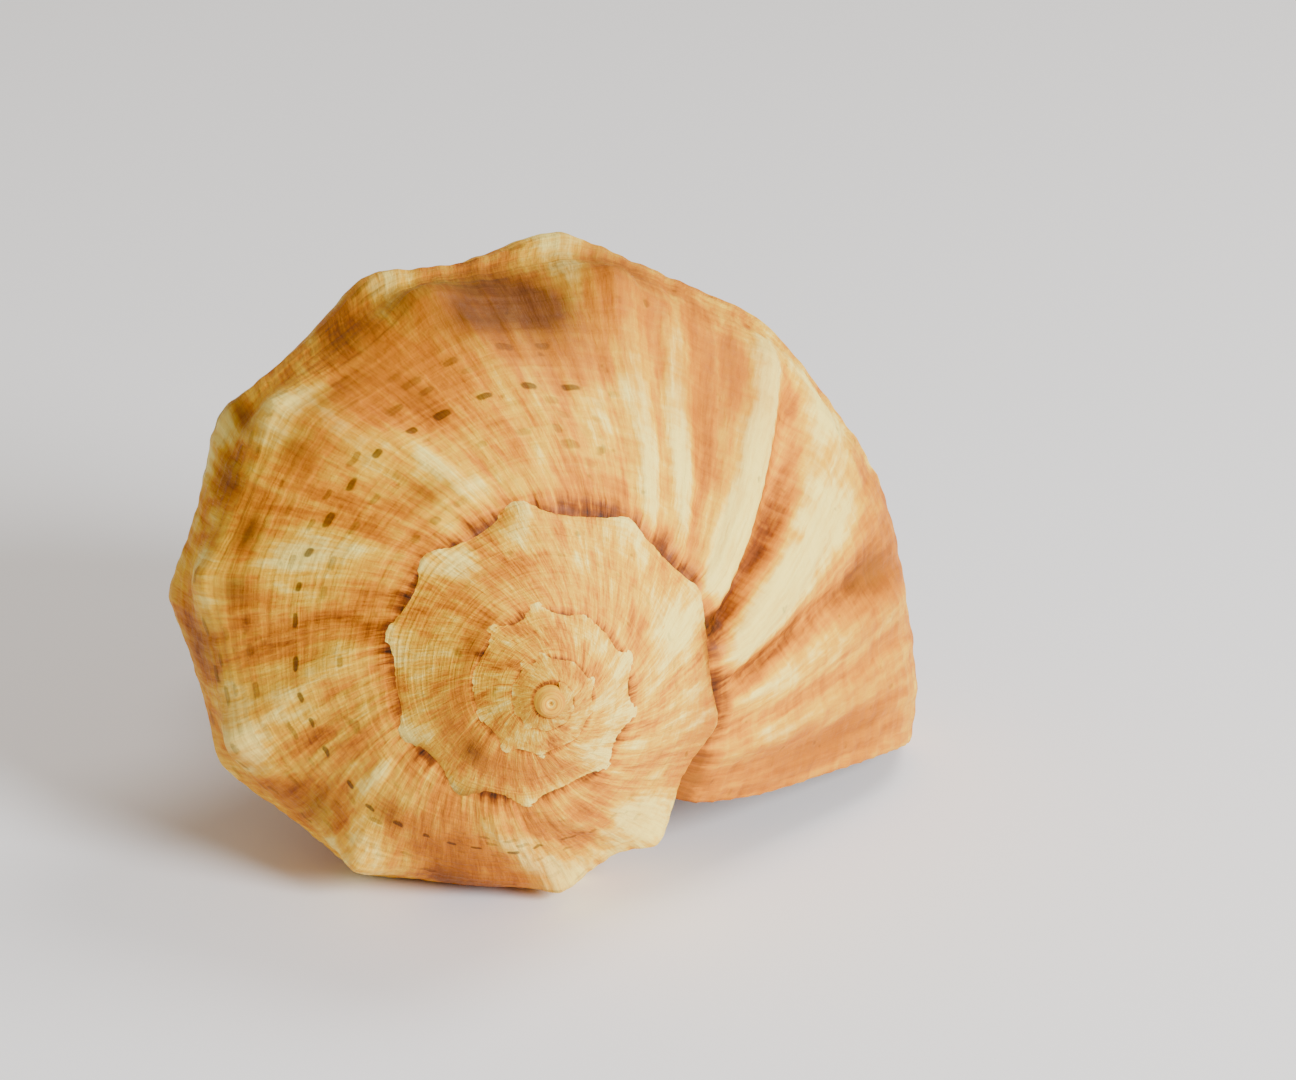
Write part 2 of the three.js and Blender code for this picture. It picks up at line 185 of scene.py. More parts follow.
# Walls and living chamber, in millimetres and turns.
WALL = 2.6
LIP_WALL = 1.4
LIP_THINNING_START = -0.12
LIP_ROUNDING = 0.0045
LIP_ROUNDING_DEPTH = 0.55
CHAMBER_START = -0.95
CHAMBER_CLOSING = 0.06
CHAMBER_MIDDLE = -0.445
CHAMBER_END = 0.06
PARTING_WALL = 1.9
CHAMBER_STEPS = (60, 80)
CHAMBER_OUTER_ROWS = (3.9, 11.5)
CHAMBER_INNER_ROWS = (11.0, 8.0)
OUTER_POINTS = 44
FACE_POINTS = 18
PARTING_POINTS = 16
CHAMBER_KNOB_SHARE = 0.35
CHAMBER_ARC_SPAN = 1.6
CLOSED_SHARE = 0.999
COLUMN_FACE = ((16.5, -101.5), (12.2, -97.0), (11.2, -90.0), (11.0, -80.0), (12.0, -68.0))
FACE_RECEDING = 3.0

# Siphonal canal: a round groove that leans from the chamber's wall to the column's end. Each pair
# is the value inside and at the open end.
CANAL_TURN = 0.02
CANAL_DEPTHS = (84.0, 122.0)
CANAL_RADII = (5.4, 4.6)
CANAL_OFF_AXIS = (17.2, 13.8)
CANAL_RINGS = 40
CANAL_SIDES = 64

# Column: its radius grows with depth, rounds off at the end, and the end bends sideways.
COLUMN_START = 3.0
COLUMN_END = 110.5
COLUMN_RADIUS = 9.2
COLUMN_SLOPE = 0.19
COLUMN_ROUND_FROM = 96.0
COLUMN_ROUND_TO = 111.0
COLUMN_BEND = 1.8
COLUMN_BEND_FROM = 50.0
COLUMN_BEND_OVER = 60.0
BEND_ANGLE = math.radians(-130)
COLUMN_RINGS = 200
COLUMN_SIDES = 110
COLUMN_EVENNESS = 0.35

# Old canal ends wind round the column as a scaly keel with a groove behind it.
KEEL_HEIGHT = 3.2
KEEL_WIDTH = 0.42
KEEL_LEAD = math.pi / 2
GROOVE_DEPTH = 1.7
GROOVE_OFFSET = -0.95
GROOVE_WIDTH = 0.36
KEEL_FADE_IN = (-0.72, -0.58)
KEEL_FADE_OUT = (0.0, -0.1)
SMALLEST_SIZE = 0.02
SUBSTITUTIONS = 24
SCALES_PER_TURN = 34
SCALE_HEIGHT = 0.32
SCALE_SLANT = 2.5

# Inner lip: the column swells on the side of the aperture.
INNER_LIP_HEIGHT = 2.4
INNER_LIP_ANGLE = math.radians(-52)
INNER_LIP_WIDTH = 0.62
INNER_LIP_RISE = (44.0, 62.0)

# First whorls: a small rounded tip with a pit, and the turns and distance that its finish reads.
TIP_RADIUS = 1.9
TIP_DEPTH = 2.5
TIP_PIT = 0.45
TIP_PIT_REACH = 0.32
TIP_SWIRL = 0.04
TIP_SWIRL_LEAN = 5
TIP_POLE_GAP = 0.02
TIP_RINGS = 26
TIP_SIDES = 40
TIP_TURN = -4.3
TIP_TURN_SPREAD = 0.1
TIP_ARC = 0.2

# How the shell lies, and where its apex is in the object's frame, in millimetres.
AXIS_RIGHT = 0.205
AXIS_DOWN = -0.165
VIEW_ELEVATION = math.radians(20)
APEX_PLACE = Vector((0.6585, -53.5293, 31.85))

# Pieces that the whorls are grown in, each a little over half a turn, last one first.
PIECE_TURNS = 0.53
PIECE_STEPS = (260, 240, 130, 118, 64, 58, 34, 28)
LIP_STEPS = 5
LIP_CLEARANCE = 1.3
SHARP_ANGLE = math.radians(42)

# Rows of points along the growth line: close together from the suture to below the shoulder.
ROW_STRETCHES = (
    (0.0, 1.6, 3), (1.6, 2.2, 6), (2.2, 6.8, 52), (6.8, 9.6, 26), (9.6, 14.0, 24), (14.0, 16.0, 5))

# Block under the surface, in metres.
BLOCK_HALF = 0.2
BLOCK_DEPTH = 0.05

# Spiral cords: spacing and a cord's place along the growth line in millimetres at the lip's size,
# and half widths as shares of the spacing.
CORD_SPACING = 2.7
CORD_START = 21.4
CORD_HALF_WIDTH = 0.17
MINOR_CORD_SHARE = 0.35
MINOR_CORD_HALF_WIDTH = 0.1

# Growth lines: counts per turn, steps of share and phase between the counts, waver along the
# line, and the unevenness along the spiral.
GROWTH_LINE_COUNTS = (17.0, 31.0, 53.0, 79.0, 113.0)
LINE_SHARE_STEP = 1.7
LINE_PHASE_STEP = 2.1
LINE_WAVER = 0.6
LINE_WAVER_PER_MM = 0.11
UNEVEN_COUNTS = (7.0, 2.3)
UNEVEN_SHARE = 0.4
UNEVEN_PER_MM = 0.05

# Slow swells: counts per turn, and changes of phase per count and per millimetre.
SWELL_COUNTS = (3.0, 5.0, 8.0, 13.0)
SWELL_PHASE_STEP = 1.3
SWELL_PER_MM = 0.04
SWELL_ACROSS_PER_MM = 0.075
FINE_FADE_IN = (1.7, 2.3)

# UV: the second coordinate is the distance along the growth line in decimetres at the lip's
# size, with whole numbers added for the chamber and the column.
UV_NAME = "growth"
ARC_SCALE = 0.01
CHAMBER_MARK = 10.0
COLUMN_MARK = 20.0

# Camera: distance from the apex, focal length, and the apex's offset from the view's axis.
CAMERA_DISTANCE = 0.52
CAMERA_RIGHT = 0.01005
CAMERA_UP = 0.01757
CAMERA_LENS = 136.5
CAMERA_SENSOR = 36.0
CAMERA_NEAR = 0.05

# Lights: place, size, share of the key's power, and colour; what they aim at; the world's colour.
KEY_LIGHT = dict(place=(0.66, -0.68, 0.45), size=0.42, share=1.0, colour=(0.94, 0.97, 1.0))
TOP_FILL = dict(place=(0.5, 0.35, 0.9), size=0.6, share=0.3, colour=(1.0, 0.98, 0.95))
LIGHT_AIM = Vector((0, 0, 0.03))
WORLD_COLOUR = (1.0, 0.88, 0.75, 1.0)

# Floor: shade of its faint unevenness, and its noise.
FLOOR_SHADE = 0.97
FLOOR_NOISE = dict(scale=3.0, detail=2.0, roughness=0.5)

# Noises that are alike in all directions, with scales per metre.
CLOUD = dict(scale=60.0, detail=5.0, roughness=0.62, distortion=0.4)
MOTTLE = dict(scale=260.0, detail=4.0, roughness=0.6)
GRAIN = dict(scale=1100.0, detail=3.0, roughness=0.6)
SPECK = dict(scale=420.0, detail=2.0, roughness=0.5)
INSIDE_CLOUD = dict(scale=60.0, detail=3.0, roughness=0.5)

# Noises drawn out along the growth lines, with scales per turn and per decimetre of the line.
BAND = dict(per_turn=22.0, per_arc=3.0, detail=3.0, roughness=0.55, distortion=0.5)
STREAK = dict(per_turn=85.0, per_arc=7.0, detail=4.0, roughness=0.6, distortion=0.3)
HAIR = dict(per_turn=330.0, per_arc=11.0, detail=3.0, roughness=0.6)
CORD_STREAK = dict(per_turn=14.0, per_arc=90.0, detail=3.0, roughness=0.55)
INSIDE_STREAK = dict(per_turn=90.0, per_arc=5.0, detail=3.0, roughness=0.6)

# Lightness of the outside: start, weights of its terms, and stops of the colours along it. The
# relief term is partly the shell's own paler knobs and darker grooves, and partly painted
# highlight on knobs, ribs and fold crests and painted shade in fold grooves.
LIGHTNESS_START = -1.41
LIGHTNESS_WEIGHTS = {
    "band": 0.85, "streak": 0.85, "hair": 0.3, "cloud": 0.65, "mottle": 0.35, "cord_streak": 0.3,
    "relief": 0.66, "newest": 0.04, "spire": 0.1, "gold": -0.22, "stain": -0.25, "cream": 0.36,
    # The suture term paints shade along the suture's groove.
    "suture": -0.38,
}
COLOUR_STOPS = {"umber": 0.04, "rust": 0.26, "ochre": 0.42, "sand": 0.56, "cream": 0.78, "pale": 1.0}

# Turns over which the newest growth and the spire begin, and where the painted shade along the
# suture's groove fades along the growth line, wavering with the streaks.
NEWEST_GROWTH = (-0.3, -0.12)
SPIRE = (-0.95, -1.05)
SUTURE_SHADE_FADE = (0.058, 0.015)
SUTURE_WAVER = 0.04

# Dashes on the cords: count per turn; waver, width and beat; noise that shifts them; noise that
# chooses cords besides the main one; and turns over which they fade in and grow faint.
DASHES_PER_TURN = 40
DASH_WAVER = 0.5
DASH_WIDTH = (0.5, 0.0)
DASH_BEAT = (-0.3, 1.0)
DASH_EDGE = (0.3, 0.75)
DASH_CORD_PHASE = 2.3
DASH_SHIFT = 9.0
SHIFT_NOISE = dict(scale=1.0, detail=2.0, roughness=0.6)
SHIFT_PER_TURN = 20.0
SHIFT_PER_CORD = 7.3
CHOICE_NOISE = dict(scale=1.0, detail=2.0, roughness=0.5)
CHOICE_PER_CORD = 3.7
CHOICE_PER_TURN = 8.0
CHOSEN_CORDS = (0.5, 0.66, 0.0, 0.6)
MAIN_CORD = (0.55, 0.45)
DASH_FADE_IN = (-0.24, -0.29)
DASH_FAINT = (-0.95, -0.8, 0.25, 1.0)

# How strongly a colour is laid over the lightness's own.
GOLD_BY_STREAK = (0.8, 0.3, 0.35, 1.0)
STAIN_BY_CLOUD = (0.45, 0.75, 0.5, 1.0)
STAIN_STREAK_WEIGHT = 0.5
STAIN_COVER = 0.92
DASH_COVER = 0.75
SPECK_COVER = (0.68, 0.77, 0.0, 0.4)
SHADE_WEIGHTS = {"hair": 0.5, "mottle": 0.3, "streak": 0.2}
SHADE_RANGE = (0.35, 0.6)
SHADE_COLOUR = (0.86, 0.72, 0.5)
SHADE_COVER = 0.8
GLAZE_CLOUDS = (0.35, 0.7)
GLAZE_COVER = 0.85

# Inside of the chamber: noise and turns carried to how strongly cream and rust cover its orange.
PALE_STREAKS = (0.35, 0.7, 0.0, 0.4)
RUST_CLOUDS = (0.4, 0.7, 0.0, 0.5)
PALE_LIP = (-0.1, -0.005, 0.0, 0.7)

# Bump and gloss of the finishes: weights of the outside's bump, and ranges of noise carried to
# ranges of roughness.
BUMP_WEIGHTS = {"streak": 0.7, "hair": 0.5, "grain": 0.25, "cord_streak": 0.5, "mottle": 0.3}
BUMP_STRENGTH = 0.8
COAT_ROUGHNESS = 0.3
CHALKY_ROUGHNESS = (0.3, 0.7, 0.5, 0.68)
GLAZED_ROUGHNESS = (0.3, 0.7, 0.16, 0.28)
GLAZED_GLOSS = (0.0, 1.0, 1.0, 0.5)
GLAZED_BUMP = (0.0, 1.0, 1.0, 0.15)
FLOOR_ROUGHNESS = 0.85
OUTSIDE_GLOSS = dict(bump_distance=0.42 * MM, specular=0.16, coat=0.03)
INSIDE_GLOSS = dict(bump_distance=0.08 * MM, specular=0.5, coat=0.3)
FLOOR_GLOSS = dict(bump_distance=0.01 * MM, specular=0.2, coat=0.0)

# Relief read by the finish, partly painted highlight on knobs, ribs and fold crests and painted
# shade in fold grooves: weights of folds and ribs against knobs, and millimetres over its range.
FOLD_SHADE = 2.0
FINE_FOLD_SHADE = 2.4
RIB_SHADE = 2.0
PAINTED_RELIEF_RANGE = 5.0

# Glaze that the inner lip spreads over the whorl before: turns of its two ends, and rows.
GLAZE_START = (-1.14, -1.06)
GLAZE_END = (-0.9, -0.94)
GLAZE_ROWS = (6.5, 8.5)

# Colours of the column: weights and widths in radians round the keel, the groove and the glaze.
KEEL_GOLD = 0.25
KEEL_GOLD_WIDTH = 0.8
KEEL_CREAM = 0.6
KEEL_CREAM_BANDS = 0.6
KEEL_CREAM_WIDTH = 0.5
GROOVE_STAIN = 0.5
GROOVE_STAIN_BANDS = 0.4
GROOVE_STAIN_WIDTH = 0.4
COLUMN_LIGHTNESS = 0.5
COLUMN_GLAZE = (3 / 11, 8 / 11)
COLUMN_GLAZE_LEAD = 0.15
COLUMN_GLAZE_WIDTH = 0.75


def display(red, green, blue):
    """Linear colour of a display colour given from 0 to 255: the usual display curve undone."""
    return tuple(((value / 255 + 0.055) / 1.055) ** 2.4 for value in (red, green, blue))


def height_setting(name, description, default, most):
    """Height in metres, given in millimetres."""
    return FloatProperty(
        name=name, description=description, default=default * MM, min=0.0, max=most * MM,
        subtype="DISTANCE", unit="LENGTH", precision=5)


def colour_setting(name, description, red, green, blue):
    """Colour whose default is a display colour."""
    return FloatVectorProperty(
        name=name, description=description, subtype="COLOR", size=3, min=0.0, max=1.0,
        default=display(red, green, blue))


class WhelkShellSettings(bpy.types.PropertyGroup):
    """Sizes and colours of the shell."""

    cord_height: height_setting("Cord Height", "Height of the spiral cords at the lip", 0.26, 1.0)
    growth_line_height: height_setting(
        "Growth Line Height", "Height of the fine growth lines at the lip", 0.12, 1.0)
    swell_height: height_setting(
        "Swell Height", "Height of the slow uneven swells of the surface", 0.7, 2.0)
    # Umber also stands for painted shade in the sutures and fold grooves, and cream and pale for
    # painted highlight on knobs and crests.
    umber: colour_setting("Umber", "Darkest colour, in sutures, grooves and dashes", 54, 24, 2)
    rust: colour_setting("Rust", "Dark growth bands", 136, 68, 0)
    ochre: colour_setting("Ochre", "Golden brown between the bands", 196, 114, 0)
    sand: colour_setting("Sand", "Ground colour of the outside", 222, 140, 2)
    cream: colour_setting("Cream", "Colour of ridges, knobs and the newest growth", 242, 186, 34)
    pale: colour_setting("Pale", "Lightest colour, on the crests", 255, 228, 116)
    stain: colour_setting("Stain", "Grey-brown stain at the back of the shoulder", 92, 50, 8)
    chamber: colour_setting("Chamber", "Colour of the glazed inside", 206, 92, 18)


class WhelkStageSettings(bpy.types.PropertyGroup):
    """The floor and the light."""

    floor_colour: colour_setting("Floor", "Colour of the plain floor", 246, 246, 248)
    floor_size: FloatProperty(
        name="Floor Size", description="Side of the square floor", default=6.0, min=1.0,
        max=20.0, subtype="DISTANCE", unit="LENGTH")
    key_power: FloatProperty(
        name="Key Power", description="Power of the large soft key light", default=22.0, min=0.0,
        max=200.0, unit="POWER")
    fill_strength: FloatProperty(
        name="Fill Strength", description="Strength of the even light from all round",
        default=0.43, min=0.0, max=5.0)


def catmull_rom(points, where):
    """Values on a curve through the points: the uniform Catmull-Rom cubic of the four points
    round each place, with the end points mirrored outwards."""
    points = np.asarray(points, float)
    where = np.asarray(where, float)
    last = len(points) - 1
    padded = np.concatenate([[2 * points[0] - points[1]], points, [2 * points[-1] - points[-2]]])
    start = np.clip(np.floor(where).astype(int), 0, last - 1)
    share = (where - start)[..., None]
    p0, p1, p2, p3 = (padded[start + step] for step in range(4))
    square = 2 * p0 - 5 * p1 + 4 * p2 - p3
    cube = -p0 + 3 * p1 - 3 * p2 + p3
    return 0.5 * (2 * p1 + (p2 - p0) * share + square * share**2 + cube * share**3)


def rise(value, start, end):
    """Straight rise from 0 at the start to 1 at the end, held at both."""
    return np.clip((value - start) / (end - start), 0, 1)


def ease(value, start, end):
    """Smooth step from 0 at the start to 1 at the end: 3x^2 - 2x^3 of the straight rise."""
    held = rise(value, start, end)
    return held * held * (3 - 2 * held)


def bump(value, centre, half_width):
    """Bell curve of height 1 with the given half width."""
    return np.exp(-0.5 * ((value - centre) / half_width) ** 2)


def size_at(turn):
    """Size against the lip's: e to the power of rate times turns plus the late gain."""
    return np.exp(RATE * turn + LATE_GAIN * (np.exp(LATE_RATE * turn) - 1))


def line_at(row):
    """Radius, height, lag and outward normal of the growth line: the normal is the curve's
    direction turned a quarter turn."""
    radius, height, lag = np.moveaxis(catmull_rom(GROWTH_LINE, row), -1, 0)
    ahead = catmull_rom(GROWTH_LINE, np.minimum(row + NORMAL_STEP, LAST_ROW))
    behind = catmull_rom(GROWTH_LINE, np.maximum(row - NORMAL_STEP, 0))
    along = ahead[..., :2] - behind[..., :2]
    along /= np.linalg.norm(along, axis=-1, keepdims=True)
    return radius, height, lag, -along[..., 1], along[..., 0]


ARC_ROWS = np.linspace(0, LAST_ROW, ARC_SAMPLES)
ARC_POINTS = catmull_rom(GROWTH_LINE, ARC_ROWS)[:, :2]
ARC_STEPS = np.linalg.norm(np.diff(ARC_POINTS, axis=0), axis=1)
ARC_LENGTHS = np.concatenate([[0], np.cumsum(ARC_STEPS)])
ARC_LENGTHS -= np.interp(SUTURE, ARC_ROWS, ARC_LENGTHS)


def arc_of(row):
    """Distance from the suture to a row along the growth line, in millimetres at the lip."""
    return np.interp(row, ARC_ROWS, ARC_LENGTHS)


def row_of(arc):
    """Row at a distance from the suture along the growth line."""
    return np.interp(arc, ARC_LENGTHS, ARC_ROWS)


def spread_at(turn, row, lag):
    """Factor on the radius: lip flare times lip corner times the narrower front."""
    grown = ease(turn, FLARE_START, 0) * rise(row, *FLARE_RISE) * rise(row, *FLARE_FALL)
    corner = ease(turn, CORNER_START, 0) * bump(row, CORNER_ROW, CORNER_REACH)
    front = bump(turn + lag, FRONT_TURN, FRONT_HALF_WIDTH) * rise(row, *FRONT_RISE)
    return (1 + FLARE * grown) * (1 + CORNER * corner) * (1 - FRONT_NARROWING * front)


def knob_relief(turn, row):
    """Knob height: the sum of bells along the spiral times the sum of bells across the rows,
    the lower rows standing a little behind."""
    back = LOWER_KNOB_LAG * np.clip(row - SHOULDER, 0, LOWER_KNOB_ROWS)
    across = sum(share * bump(row, centre, reach) for centre, reach, share in KNOB_ROWS)
    places = list(zip(KNOB_TURNS, KNOB_HEIGHTS))
    for index in range(1, EARLY_KNOBS):
        jitter = EARLY_KNOB_JITTER * math.sin(index * JITTER_PHASE_STEP)
        places.append((KNOB_TURNS[0] - EARLY_KNOB_STEP * index + jitter, EARLY_KNOB_HEIGHT))
    along = sum(height * bump(turn + back, centre, KNOB_HALF_WIDTH) for centre, height in places)
    peaks = sum(height * bump(turn + back, centre, PEAK_HALF_WIDTH) for centre, height in places)
    tops = sum(share * bump(row, centre, PEAK_REACH) for centre, share in PEAK_ROWS)
    return along * across + PEAK_SHARE * peaks * tops


def fold_relief(turn, row, folds):
    """Fold height: bells across leaning lines, faded out at the suture and the shoulder."""
    on_ramp = ease(row, *FOLD_FADE_IN) * ease(row, *FOLD_FADE_OUT)
    return on_ramp * sum(
        height * bump(turn, place + lean * (row - FOLD_ROW), width)
        for place, lean, height, width in folds)


def rib_relief(turn, row):
    """Rib height: bells along the spiral at each knob, drifting per row above the shoulder, faded
    out at the suture and below the shoulder."""
    on_ramp = ease(row, *RIB_FADE_IN) * ease(row, *RIB_FADE_OUT)
    drift = turn - RIB_LEAN * np.minimum(row - SHOULDER, 0)
    return RIB_HEIGHT * on_ramp * sum(
        bump(drift, centre, RIB_HALF_WIDTH) for centre in KNOB_TURNS[:-2])


def fine_relief(turn, row, settings):
    """Cords, growth lines and swells: bells at an even spacing along the growth line, sums of
    sines along the spiral, and slow sines along both."""
    arc = arc_of(row)
    cord = (arc - CORD_START) / CORD_SPACING
    across_cord = np.mod(cord + 0.5, 1) - 0.5
    minor = np.mod(cord, 1) - 0.5
    cords = bump(across_cord, 0, CORD_HALF_WIDTH)
    cords = cords + MINOR_CORD_SHARE * bump(minor, 0, MINOR_CORD_HALF_WIDTH)
    circle = 2 * np.pi * turn
    lines = sum(
        math.cos(LINE_SHARE_STEP * index) * np.sin(
            count * circle + LINE_PHASE_STEP * index
            + LINE_WAVER * np.sin(LINE_WAVER_PER_MM * arc + index))
        for index, count in enumerate(GROWTH_LINE_COUNTS))
    fast, slow = UNEVEN_COUNTS
    uneven = np.sin(fast * circle + UNEVEN_PER_MM * arc) * np.sin(slow * circle + 1)
    lines = lines * (1 - UNEVEN_SHARE + UNEVEN_SHARE * uneven)
    swells = sum(
        np.sin(count * circle + SWELL_PHASE_STEP * index + SWELL_PER_MM * arc)
        * np.cos(SWELL_ACROSS_PER_MM * arc + 2 * index)
        for index, count in enumerate(SWELL_COUNTS)) / len(SWELL_COUNTS)
    visible = ease(row, *FINE_FADE_IN)
    return visible * (
        settings.cord_height / MM * cords
        + settings.growth_line_height / MM * lines
        + settings.swell_height / MM * swells)


def placed(radius, height, turn):
    """Point at an angle round the axis that falls by a full circle each turn."""
    angle = LIP_ANGLE - 2 * np.pi * turn
    return np.stack([radius * np.cos(angle), radius * np.sin(angle), height + 0 * angle], -1)


def lip_rounding(turn):
    """Depth by which the surface is rounded off at the lip's edge: a quarter circle."""
    edge = rise(turn, -LIP_ROUNDING, 0)
    return LIP_ROUNDING_DEPTH * (1 - np.sqrt(1 - edge**2))


def outside_points(turn, row, settings):
    """Outside surface: the growth line pushed out along its normal by the relief, spread, shrunk
    to the size of its turn and carried round the axis; its edge is rounded off at the lip."""
    radius, height, lag, normal_r, normal_z = line_at(row)
    size = size_at(turn + lag)
    relief = knob_relief(turn, row) + fold_relief(turn, row, FOLDS)
    relief = relief + fold_relief(turn, row, FINE_FOLDS) + rib_relief(turn, row)
    relief = relief + fine_relief(turn, row, settings) - lip_rounding(turn)
    spread = radius * spread_at(turn, row, lag)
    return placed((spread + relief * normal_r) * size, (height + relief * normal_z) * size, turn + lag)


def whorl_sections(turns, settings):
    """Closed sections of the solid whorl: the growth line, then a few points near the axis."""
    rows = np.concatenate([
        np.linspace(start, end, count, endpoint=False) for start, end, count in ROW_STRETCHES])
    rows = np.append(rows, LAST_ROW)
    turn = turns[:, None]
    outside = outside_points(turn, rows[None], settings)
    size = size_at(turn)
    inner = placed(AXIS_GAP * size + 0 * INNER_HEIGHTS, INNER_HEIGHTS * size, turn)
    points = np.concatenate([outside, inner], axis=1)
    arcs = ARC_SCALE * np.concatenate([arc_of(rows), 0 * INNER_HEIGHTS + arc_of(LAST_ROW)])
    return points, np.broadcast_to(arcs, points.shape[:2])


def wall_at(turn):
    """Wall thickness: thinner with the size of the whorl, and thinner still towards the lip,
    where its inner edge is rounded off."""
    thinned = ease(turn, LIP_THINNING_START, 0)
    full = WALL * np.sqrt(np.minimum(size_at(turn), 1))
    return full * (1 - thinned) + LIP_WALL * thinned - lip_rounding(turn)


def chamber_sections(turns):
    """Closed sections of the living chamber: inside the outer wall, down to the canal, up the
    column and round the outside of the whorl before."""
    turn = turns[:, None]
    size = size_at(turn)
    rows = np.linspace(*CHAMBER_OUTER_ROWS, OUTER_POINTS)[None]
    radius, height, lag, normal_r, normal_z = line_at(rows)
    here = size_at(turn + lag)
    wall = wall_at(turn)
    swell = CHAMBER_KNOB_SHARE * knob_relief(turn, rows) * here
    outer_radius = radius * spread_at(turn, rows, lag) * here + (swell - wall) * normal_r
    outer = placed(outer_radius, height * here + (swell - wall) * normal_z, turn + lag)
    face = catmull_rom(COLUMN_FACE, np.linspace(0, len(COLUMN_FACE) - 1, FACE_POINTS))
    receding = 1 + FACE_RECEDING * np.maximum(turn, 0)
    inside = placed(face[None, :, 0] * size * receding, face[None, :, 1] * size, turn)
    rows_before = np.linspace(*CHAMBER_INNER_ROWS, PARTING_POINTS)[None]
    radius, height, lag, normal_r, normal_z = line_at(rows_before)
    before = size_at(turn - 1)
    gap = PARTING_WALL * np.sqrt(size)
    parting = placed(radius * before + gap * normal_r, height * before + gap * normal_z, turn)
    points = np.concatenate([outer, inside, parting], axis=1)
    centre = points.mean(1, keepdims=True)
    closing = rise(turn, CHAMBER_START + CHAMBER_CLOSING, CHAMBER_START)
    closing = np.minimum(closing, CLOSED_SHARE)
    points = centre + (points - centre) * np.sqrt(1 - closing**2)[..., None]
    arcs = np.linspace(0, CHAMBER_ARC_SPAN, points.shape[1]) + CHAMBER_MARK
    return points, np.broadcast_to(arcs, points.shape[:2])


def new_solid(name, points, turns, arcs):
    """Closed mesh through closed sections: quads between neighbours, and a fan of triangles from
    the middle of the first and of the last section. Faces are turned so that the volume, the sum
    of the corners' triple products, is positive."""
    steps, count = points.shape[:2]
    ends = np.stack([points[0].mean(0), points[-1].mean(0)])
    vertices = np.concatenate([points.reshape(-1, 3), ends])
    uvs = np.stack([np.broadcast_to(turns[:, None], arcs.shape), arcs], -1).reshape(-1, 2)
    uv_ends = np.stack([uvs[:count].mean(0), uvs[-count:].mean(0)])
    uvs = np.concatenate([uvs, uv_ends])
    first = (np.arange(steps - 1)[:, None] * count + np.arange(count)).ravel()
    beside = (np.arange(steps - 1)[:, None] * count + (np.arange(count) + 1) % count).ravel()
    quads = np.stack([first, first + count, beside + count, beside], -1)
    around = np.arange(count)
    after = (around + 1) % count
    base = (steps - 1) * count
    fan_start = np.stack([np.full(count, steps * count), around, after], -1)
    fan_end = np.stack([np.full(count, steps * count + 1), base + after, base + around], -1)
    corners = vertices[quads]
    volume = np.einsum("ij,ij->", corners[:, 0], np.cross(corners[:, 1], corners[:, 2]))
    volume += np.einsum("ij,ij->", corners[:, 0], np.cross(corners[:, 2], corners[:, 3]))
    if volume < 0:
        quads, fan_start, fan_end = quads[:, ::-1], fan_start[:, ::-1], fan_end[:, ::-1]
    fans = np.concatenate([fan_start, fan_end])
    loops = np.concatenate([quads.ravel(), fans.ravel()])
    starts = np.concatenate([
        np.arange(len(quads)) * 4, len(quads) * 4 + np.arange(len(fans)) * 3])
    mesh = bpy.data.meshes.new(name)
    mesh.vertices.add(len(vertices))
    mesh.vertices.foreach_set("co", in_frame(vertices).ravel())
    mesh.loops.add(len(loops))
    mesh.loops.foreach_set("vertex_index", loops)
    mesh.polygons.add(len(starts))
    mesh.polygons.foreach_set("loop_start", starts)
    mesh.update(calc_edges=True)
    layer = mesh.uv_layers.new(name=UV_NAME)
    layer.uv.foreach_set("vector", uvs[loops].ravel())
    mesh.validate()
    solid = bpy.data.objects.new(name, mesh)
    bpy.context.scene.collection.objects.link(solid)
    return solid


def lying_matrix():
    """Turn from the shell's own frame to the object's: the axis leans from straight at the
    viewer, and the viewer is raised by the elevation."""
    axis = Vector((AXIS_RIGHT, AXIS_DOWN, 0))
    axis.z = math.sqrt(1 - axis.length_squared)
    right = (Vector((1, 0, 0)) - axis * axis.x).normalized()
    up = axis.cross(right)
    to_viewer = Matrix((right, up, axis)).transposed()
    return viewer_matrix() @ to_viewer


def viewer_matrix():
    """Turn from the viewer's frame, with z towards the viewer, to the object's frame."""
    sine = math.sin(VIEW_ELEVATION)
    cosine = math.cos(VIEW_ELEVATION)
    return Matrix(((1, 0, 0), (0, sine, -cosine), (0, cosine, sine)))


def in_frame(points):
    """Points of the shell's own frame in the object's frame, in metres."""
    turned = points @ np.array(lying_matrix()).T
    return (turned + np.array(APEX_PLACE)) * MM


def combine(base, tool, operation):
    """Join or cut one closed solid with another and keep the outcome as the base's mesh."""
    modifier = base.modifiers.new("combine", "BOOLEAN")
    modifier.operation = operation
    modifier.solver = "MANIFOLD"
    modifier.object = tool
    depsgraph = bpy.context.evaluated_depsgraph_get()
    outcome = bpy.data.meshes.new_from_object(
        base.evaluated_get(depsgraph), preserve_all_data_layers=True, depsgraph=depsgraph)
    base.modifiers.clear()
    old = base.data
    base.data = outcome
    bpy.data.meshes.remove(old)
    spent = tool.data
    bpy.data.objects.remove(tool)
    bpy.data.meshes.remove(spent)


def keep_largest(shell):
    """Drop loose slivers that the cuts leave behind."""
    for item in bpy.context.scene.objects:
        item.select_set(item == shell)
    bpy.context.view_layer.objects.active = shell
    before = set(bpy.context.scene.objects)
    bpy.ops.mesh.separate(type="LOOSE")
    pieces = [shell, *(item for item in bpy.context.scene.objects if item not in before)]
    largest = max(pieces, key=lambda item: len(item.data.vertices))
    shell.data, largest.data = largest.data, shell.data
    for item in pieces:
        if item != shell:
            spent = item.data
            bpy.data.objects.remove(item)
            bpy.data.meshes.remove(spent)


def lip_turns():
    """Turns over the lip's rounding, closer together towards the edge."""
    return LIP_ROUNDING * (np.sin(np.linspace(0, np.pi / 2, LIP_STEPS)) - 1)


